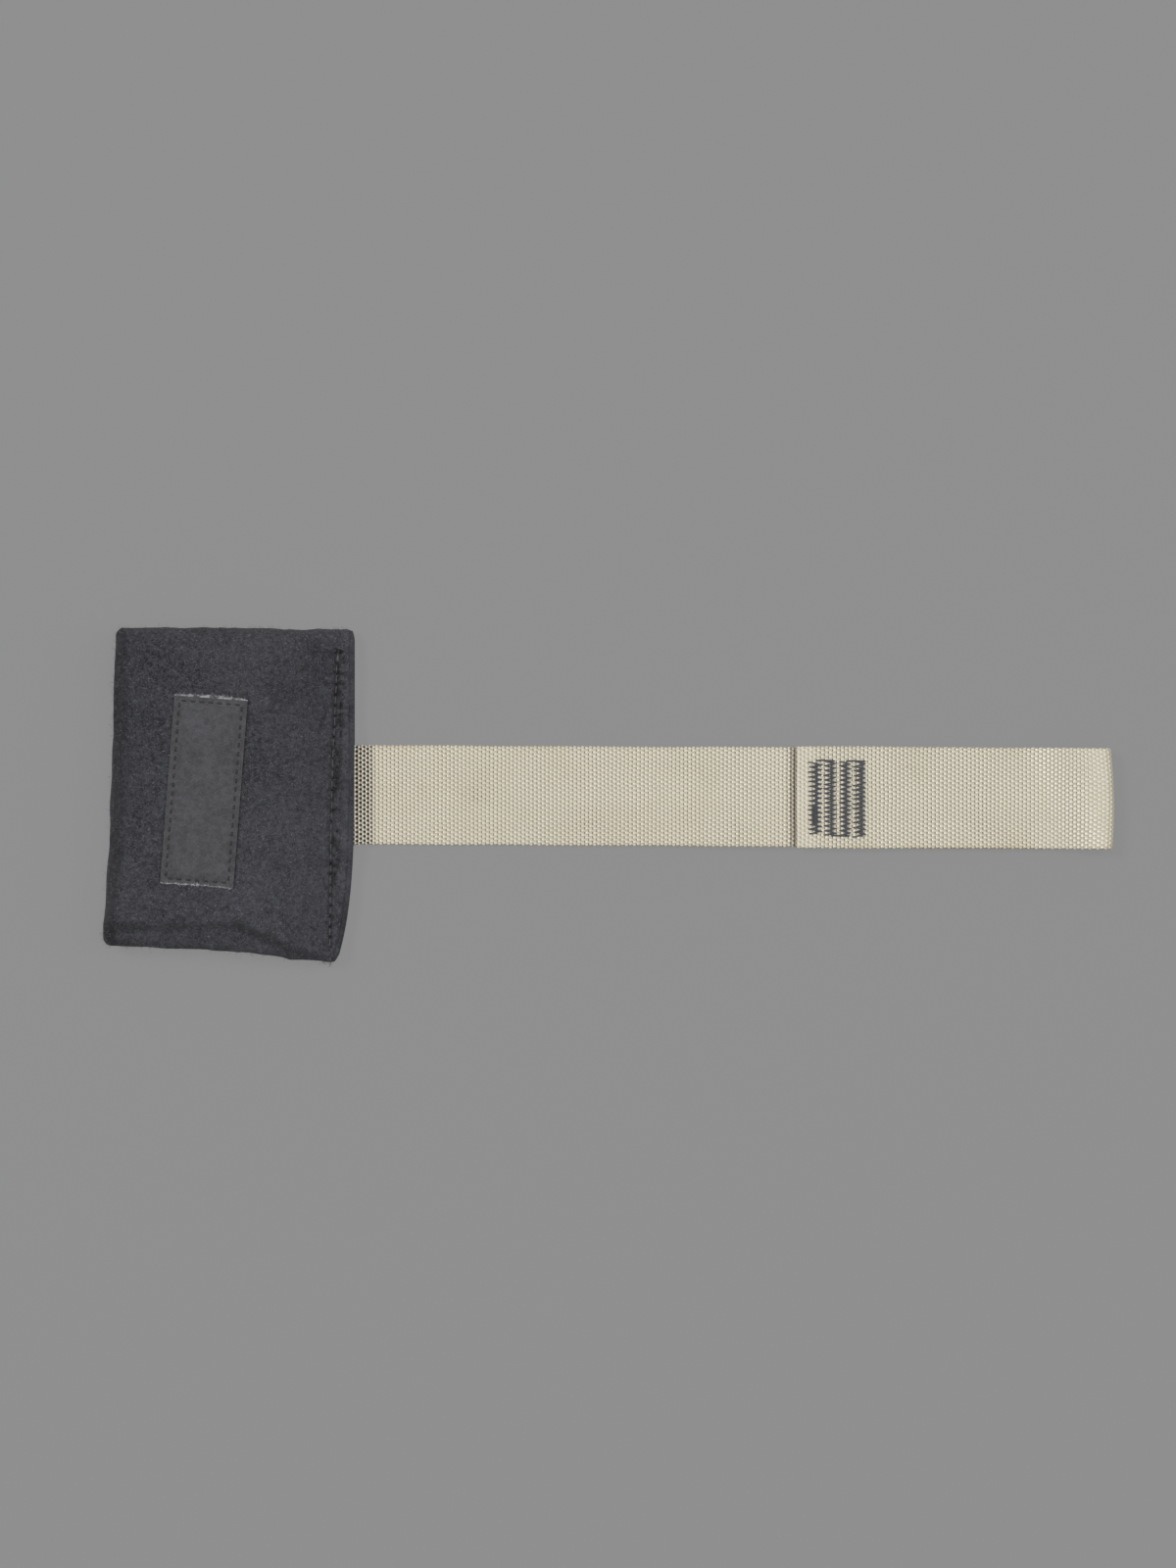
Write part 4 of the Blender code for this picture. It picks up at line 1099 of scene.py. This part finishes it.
# Closing seam
# A lockstitch through both folded hems, the webbing and the foam's edge closes the mouth. The needle thread
# lies in a groove on the front, pulled down at each hole, and the bobbin thread does the same on the back.


def rest_on(surface, x, y):
    """Height of a surface at places: the mean of its points' heights, by a bell of their distance."""
    grid = surface.reshape(-1, 3)
    for axis, places in enumerate((x, y)):
        grid = grid[(grid[:, axis] > places.min() - 0.004) & (grid[:, axis] < places.max() + 0.004)]
    weight = bell(np.hypot(x.reshape(-1, 1) - grid[:, 0], y.reshape(-1, 1) - grid[:, 1]), 0.00045) + 1e-30
    return (weight @ grid[:, 2] / weight.sum(1)).reshape(x.shape)


def stitches(starts, ends, surface, side, points=15, sink=0.0007, lift=0.00022):
    """One short strand from each start to its end over a surface: it comes out of one hole, lies flat,
    and goes down the next, the height falling with the eighth power of the distance to the middle."""
    share = np.linspace(0, 1, points)[None, :]
    x, y = [mix(starts[:, [axis]], ends[:, [axis]], share) for axis in (0, 1)]
    return joined(x, y, rest_on(surface, x, y) + side * (lift - (sink + lift) * np.abs(2 * share - 1) ** 8))


holes = SEAM_LOW + SEAM_STITCH * np.arange(SEAM_COUNT + 1)
hole_x = seam_line((holes - POUCH_LOW) / POUCH_HEIGHT) + 0.00015 * ripples(holes, 0.005, 21)
along_seam = joined(hole_x, holes)
needle = stitches(along_seam[:-1] + (0, 0.0004), along_seam[1:] - (0, 0.0004), front_points, 1, lift=0.0001)
tack_start = START_HOLE + np.array([[0, 0.0001], [0.0002, -0.0004]])
tack_end = START_HOLE + np.array([[0.0002, -0.0034], [0.0004, -0.0038]])
needle = np.concatenate([needle, stitches(tack_start, tack_end, front_points, 1)])
sew("closing_seam_needle", needle, "pouch", thread, "closing_seam_needle_thread", radius=0.00022)
bobbin = stitches(along_seam[:-1] + (0, 0.0002), along_seam[1:] - (0, 0.0002), back_points, -1)
bobbin[..., 2] = np.clip(bobbin[..., 2], THREAD * 0.6, None)
sew("closing_seam_bobbin", bobbin, "pouch", thread, "closing_seam_bobbin_thread")


# Felt nap
# Needled felt sheds: loose fibres lie on its faces and stand a little off its edges, paler than the matted
# cloth because they catch the light. Each is one short curved hair, tapered to both ends.


def hairs(name, roots, angle, chance, rises, lengths, lift, thickness, curl, seed):
    """Hairs as three-sided tapered tubes of four points: each runs from its root at an angle, bends to
    one side with the square of the length, and lifts off the cloth as a half sine. How far each rises,
    its length and its lift are drawn by chance."""
    count = len(roots)
    directions = joined(np.cos(angle), np.sin(angle), chance.uniform(*rises, count))[:, None]
    lengths = chance.uniform(*lengths, count)[:, None, None]
    lift = chance.uniform(0, lift, count)[:, None, None]
    share = np.linspace(0, 1, 4)[None, :, None]
    side = unit(np.cross(directions, (0, 0, 1.0)))
    bend = np.random.default_rng(seed).uniform(-curl, curl, (count, 1, 1)) * lengths
    up = lift * np.sin(np.pi * share) * np.array([0, 0, 1.0])
    lines = roots[:, None] + directions * lengths * share + side * bend * share**2 + up
    radius = thickness / 2 * (0.35 + 0.65 * np.sin(np.pi * share[..., 0]))
    return strands(name, lines, radius, sides=3, lay=10.0)


def hair_finish(name, dark, light):
    """Pale and dark fibres, by clouds about a millimetre across."""
    place, close = blank_finish(name)
    cloud = place.noise(900.0, 1.0)
    colour = cloud.between(0.35, 0.65).tint(dark, light)
    return close(colour, cloud.between(0.3, 0.7, 0.7, 0.9), cloud, 0.00002)


chance = np.random.default_rng(31)
nap = hair_finish("felt_hair", (0.045, 0.045, 0.052), (0.22, 0.22, 0.235))
front_grid, back_grid = [grid[2:-2, 2:-8].reshape(-1, 3) for grid in (front_points, back_points)]
back_grid = back_grid[back_grid[:, 2] > 0.0008]
for name, grid, count, height in (
    ("felt_nap_front", front_grid, 9000, 0.00008),
    ("felt_nap_back", back_grid, 1100, 0),
):
    roots = grid[chance.integers(0, len(grid), count)] + (0, 0, height)
    angle = chance.uniform(0, 2 * np.pi, count)
    fibres = hairs(name, roots, angle, chance, (-0.1, 0.15), (0.0006, 0.0024), 0.0004, 0.00007, 0.5, 32)
    dressed(fibres, "pouch", nap, "dark_felt")


# Label
# A patch of tight dark ribbon, 27 by 70 mm, is laid on the front panel a little askew and sewn round its
# edge. Its long edges are woven, and its two ends are cut and have begun to fray. Its face is plain.

RIBBON = 0.00032
LABEL_STITCH = 0.0033
TOP_BOW, LOW_BOW = 0.0007, 0.0003


def from_label(across, along):
    """Plan place of a point on the label's own axes."""
    cosine, sine = np.cos(LABEL_TURN), np.sin(LABEL_TURN)
    return LABEL_CENTRE[0] + across * cosine - along * sine, LABEL_CENTRE[1] + along * cosine + across * sine


def label_grid():
    """The patch's lower face: it lies on the felt, bulges inside the stitch line and curls up at its
    edges, and its two ends bow out."""
    across = np.linspace(-0.5, 0.5, 61)[None, :] * LABEL_SIZE[0]
    along = np.linspace(-0.5, 0.5, 141)[:, None] * LABEL_SIZE[1]
    bow = TOP_BOW * ease(along / 0.034 - 0.4) + LOW_BOW * ease(-along / 0.034 - 0.4)
    x, y = from_label(across, along + bow * np.cos(np.pi * across / LABEL_SIZE[0]))
    edge = np.minimum(LABEL_SIZE[0] / 2 - np.abs(across), LABEL_SIZE[1] / 2 - np.abs(along))
    pull = 0.00012 * bell(label_line(x, y), 0.0008)
    pucker = 0.00005 * np.cos(2 * np.pi * (along + across) / LABEL_STITCH) * bell(edge - LABEL_INSET, 0.0015)
    curl = 0.00008 * ease(1 - edge / 0.0015) * (1 + 0.6 * lumps(x, y, 0.006, 41))
    swell = 0.00014 * ease((edge - LABEL_INSET) / 0.006) + 0.00006 * lumps(x, y, 0.010, 42)
    return joined(x, y, rest_on(front_points, x, y) + 0.0001 - pull + pucker + curl + swell)


def label_finish():
    """A fine ribbed weave along and across the ribbon, and a pale frayed line at the two cut ends."""
    place, close = blank_finish("dark_ribbon_weave")
    values = {0: place, 1: (*LABEL_CENTRE, 0.0)}
    centred = place.node("ShaderNodeVectorMath", {"operation": "SUBTRACT"}, values)
    across, along, _ = centred.turned(-LABEL_TURN, (1.0, 1.0, 1.0)).parts()
    rib = along.math("SINE", along * (2 * np.pi / 0.00042))
    rib = rib * across.math("SINE", across * (2 * np.pi / 0.00036))
    cloud = place.noise(90.0, 3.0, 0.6)
    speck = place.noise(1500.0, 2.0)
    shade = rib * 0.15 + cloud.between(0.3, 0.7) * 0.3 + speck.between(0.3, 0.7) * 0.4
    shade = shade + place.noise(420.0, 2.0).between(0.35, 0.65) * 0.3
    colour = shade.tint((0.023, 0.023, 0.0265), (0.080, 0.080, 0.090))
    end = abs(along) + (speck - 0.5) * 0.0006
    fray = end.between(LABEL_SIZE[1] / 2 - 0.00045, LABEL_SIZE[1] / 2 - 0.0001, 0.0, 0.75)
    colour = (fray * place.noise(500.0, 1.0).between(0.35, 0.55)).tint(colour, (0.46, 0.46, 0.48))
    rough = cloud.between(0.3, 0.7, 0.55, 0.7)
    return close(colour, rough, rib * 0.5 + speck * 0.5, 0.00008, Sheen_Weight=0.1)


label_low = label_grid()
label_high = label_low + (0, 0, RIBBON)
label = shell("label_ribbon", label_high, label_low, 60)
dressed(label, "pouch", label_finish(), "label_cloth", "label_patch")

half_across, half_along = [size / 2 - LABEL_INSET for size in LABEL_SIZE]
corners = np.array([(-1, -1), (1, -1), (1, 1), (-1, 1)]) * (half_across, half_along)
starts, ends = [], []
for corner, following in zip(corners, np.roll(corners, -1, 0)):
    count = int(round(np.hypot(*(following - corner)) / LABEL_STITCH))
    marks = mix(corner, following, np.linspace(0, 1, count + 1)[:, None])
    starts.append(mix(marks[:-1], marks[1:], 0.28))
    ends.append(mix(marks[:-1], marks[1:], 0.72))
starts, ends = [joined(*from_label(*np.concatenate(marks).T)) for marks in (starts, ends)]
black = thread_finish("black_bonded_thread", (0.006, 0.006, 0.007), (0.020, 0.020, 0.022))
lines = stitches(starts, ends, label_high, 1, 11, 0.0006, 0.00012)
label_stitches = sew("label_stitches", lines, "pouch", black, "label_thread", radius=0.00033)

count = 420
chance = np.random.default_rng(43)
across = chance.uniform(-0.49, 0.49, count) * LABEL_SIZE[0]
end = np.where(np.arange(count) % 2 == 0, -1.0, 1.0)
bow = np.where(end > 0, TOP_BOW, LOW_BOW) * np.cos(np.pi * across / LABEL_SIZE[0])
x, y = from_label(across, end * (LABEL_SIZE[1] / 2 + chance.uniform(-0.0002, 0.00012, count)) + bow)
angle = np.where(across < 0, 0.0, np.pi) + LABEL_TURN + chance.uniform(-0.5, 0.5, count)
roots = joined(x, y, rest_on(label_high, x, y))
sizes = ((-0.05, 0.1), (0.0004, 0.0014), 0.0002, 0.00009, 0.6)
fringe = hairs("label_frayed_ends", roots, angle, chance, *sizes, 44)
dressed(fringe, "pouch", hair_finish("ribbon_hair", (0.20, 0.20, 0.21), (0.62, 0.62, 0.64)), "label_cloth")


# Bar tack
# Four rows of dense zigzag in dark grey thread close the loop. In each row the zigzag crosses a cord of
# straight stitches, and the thread runs over from row to row at the top or the bottom.

LAP_FACE = ON_LAP + WEBBING / 2
TACK_PITCH = 0.00171
UNDER_PITCH = 0.0034
UNDER_LEVEL = 0.00045
CORD = 0.00018
# A row's middle, how far it reaches to the left and right of it, and its low and high ends
ROWS = (
    (0.07720, 0.0028, 0.0022, -0.0140, 0.0125),
    (0.08280, 0.0029, 0.0018, -0.0145, 0.0130),
    (0.08824, 0.0025, 0.0019, -0.0145, 0.0128),
    (0.09410, 0.0032, 0.0015, -0.0150, 0.0128),
)
# A link's two rows and its place along them
LINKS = ((0, 1, 0.0131), (1, 2, -0.0148), (2, 3, 0.0129))


def tack_teeth(x, left, right, low, high, seed):
    """Strokes of the zigzag from the left hole over the cord to the right hole, and back half a pitch on:
    level beside the holes and sloped between them. Each dips at its ends and is lifted where it crosses
    the cord."""
    chance = np.random.default_rng(seed)
    count = int(round((high - low) / TACK_PITCH)) * 2
    y = np.linspace(low, high, count + 1) + chance.uniform(-0.00014, 0.00014, count + 1)
    out = np.where(np.arange(count + 1) % 2 == 0, -left, right) * chance.uniform(0.86, 1.08, count + 1)
    share = np.linspace(0, 1, 13)[None, :]
    off = mix(out[:-1, None], out[1:, None], share)
    py = mix(y[:-1, None], y[1:, None], mix(share, ease(share), 0.8))
    hole = np.abs(2 * share - 1) ** 14
    return joined(x + off, py, LAP_FACE + 0.00012 + 0.00042 * bell(off, 0.0007) - 0.0005 * hole)


def tack_cord(x, low, high, seed):
    """Three straight strands side by side, each swaying a little: the raised middle of a row."""
    y = np.linspace(low, high, 90)
    lines = []
    for place in (-1, 0, 1):
        sway = 0.00010 * lumps(y, y * 0 + place * 0.01, 0.0022, seed + place)
        height = LAP_FACE + 0.00034 + 0.0001 * (place == 0) + sway * 0.5
        lines.append(joined(x + place * 0.00024 + sway, y, height))
    return np.stack(lines)


tack = thread_finish("grey_bonded_thread", (0.038, 0.040, 0.047), (0.088, 0.092, 0.105))
for number, (x, left, right, low, high) in enumerate(ROWS):
    row = f"tack_row_{number + 1}"
    teeth = tack_teeth(x, left, right, low, high, 50 + number)
    sew(f"{row}_zigzag", teeth, "loop", tack, f"{row}_needle_thread", radius=0.00024)
    sew(f"{row}_cord", tack_cord(x, low, high, 60 + number), "loop", tack, radius=CORD)
    under = to_and_fro(x - 0.0003, left, right, low, high, UNDER_PITCH, UNDER_LEVEL)
    sew(f"{row}_bobbin", resampled(under, THREAD), "loop", tack, f"{row}_bobbin_thread")

for number, (first, second, y) in enumerate(LINKS):
    share = np.linspace(0, 1, 24)
    x = mix(ROWS[first][0] - 0.0002, ROWS[second][0] + 0.0012, share)
    line = joined(x, y + 0.00008 * np.sin(share * 5), LAP_FACE + 0.0002 - 0.0006 * np.abs(2 * share - 1) ** 8)
    sew(f"tack_link_{number + 1}", np.stack([line, line + (0.0001, 0.00022, 0)]), "loop", tack, radius=CORD)

chance = np.random.default_rng(71)
share = np.linspace(0, 1, 13)[None, :]
y = np.linspace(-0.0102, -0.0042, 15)[:, None] + 0.0004 * share
x = ROWS[0][0] + chance.uniform(-0.0015, -0.0012, (15, 1)) + share * chance.uniform(0.0016, 0.0020, (15, 1))
height = LAP_FACE + 0.00022 + 0.0005 * np.sin(np.pi * share) - 0.0005 * np.abs(2 * share - 1) ** 6
sew("tack_back_stitch", joined(x, y, height), "loop", tack, radius=0.00022)


# Floor, light and camera
# The anchor lies on a plain grey sweep and is photographed from straight above, in soft light that comes
# mainly from the left.

GREY = (0.275, 0.275, 0.275, 1)
CAMERA_HEIGHT = 3.0
FOCUS_HEIGHT = 0.0016
FRAME_HEIGHT = 0.5818


def floor_finish():
    """A plain grey, seen mostly at its own level, so that the soft shadow on it stays faint."""
    material = bpy.data.materials.new("grey_sweep")
    material.use_nodes = True
    material.node_tree.nodes.clear()
    start = Wire(material.node_tree)
    ray = start.node("ShaderNodeLightPath", {}, {}, "Is Camera Ray")
    matt = start.node("ShaderNodeBsdfDiffuse", {}, {"Color": GREY})
    glow = start.node("ShaderNodeEmission", {}, {"Color": GREY, "Strength": 1.0})
    seen = start.node("ShaderNodeMixShader", {}, {0: ray * 0.85, 1: matt, 2: glow})
    start.node("ShaderNodeOutputMaterial", {}, {"Surface": seen})
    return material


side = np.linspace(-3, 3, 5)
floor_points = joined(*np.meshgrid(side, side), 0).reshape(-1, 3)
floor = mesh_piece("floor", floor_points, cells(np.arange(25).reshape(5, 5)))
floor.data.materials.append(floor_finish())


def softbox(name, place, size, power):
    """A square lamp that faces the floor's middle: its own axis is the line from its place to there."""
    lamp = bpy.data.lights.new(name, "AREA")
    lamp.size = size
    lamp.energy = power
    made = bpy.data.objects.new(name, lamp)
    bpy.context.scene.collection.objects.link(made)
    x, y, z = place
    made.location = place
    made.rotation_euler = (0, np.arctan2(np.hypot(x, y), z), np.arctan2(y, x))


softbox("key", (-1.7, 0.9, 2.4), 0.9, 39.0)
softbox("fill", (2.4, 0.4, 2.0), 2.0, 27.0)
softbox("overhead", (0.4, 0.3, 2.7), 1.4, 17.0)
world = bpy.data.worlds.new("studio")
world.use_nodes = True
world.node_tree.nodes["Background"].inputs["Color"].default_value = (1, 1, 1, 1)
world.node_tree.nodes["Background"].inputs["Strength"].default_value = 0.36
bpy.context.scene.world = world

lens = bpy.data.cameras.new("camera")
lens.sensor_width = 36
lens.lens = lens.sensor_width * (CAMERA_HEIGHT - FOCUS_HEIGHT) / FRAME_HEIGHT
lens.clip_end = 20
camera = bpy.data.objects.new("camera", lens)
camera.location = (-0.00745, 0.0045, CAMERA_HEIGHT)
bpy.context.scene.collection.objects.link(camera)
bpy.context.scene.camera = camera
bpy.context.scene.view_settings.view_transform = "Standard"

bpy.context.view_layer.update()
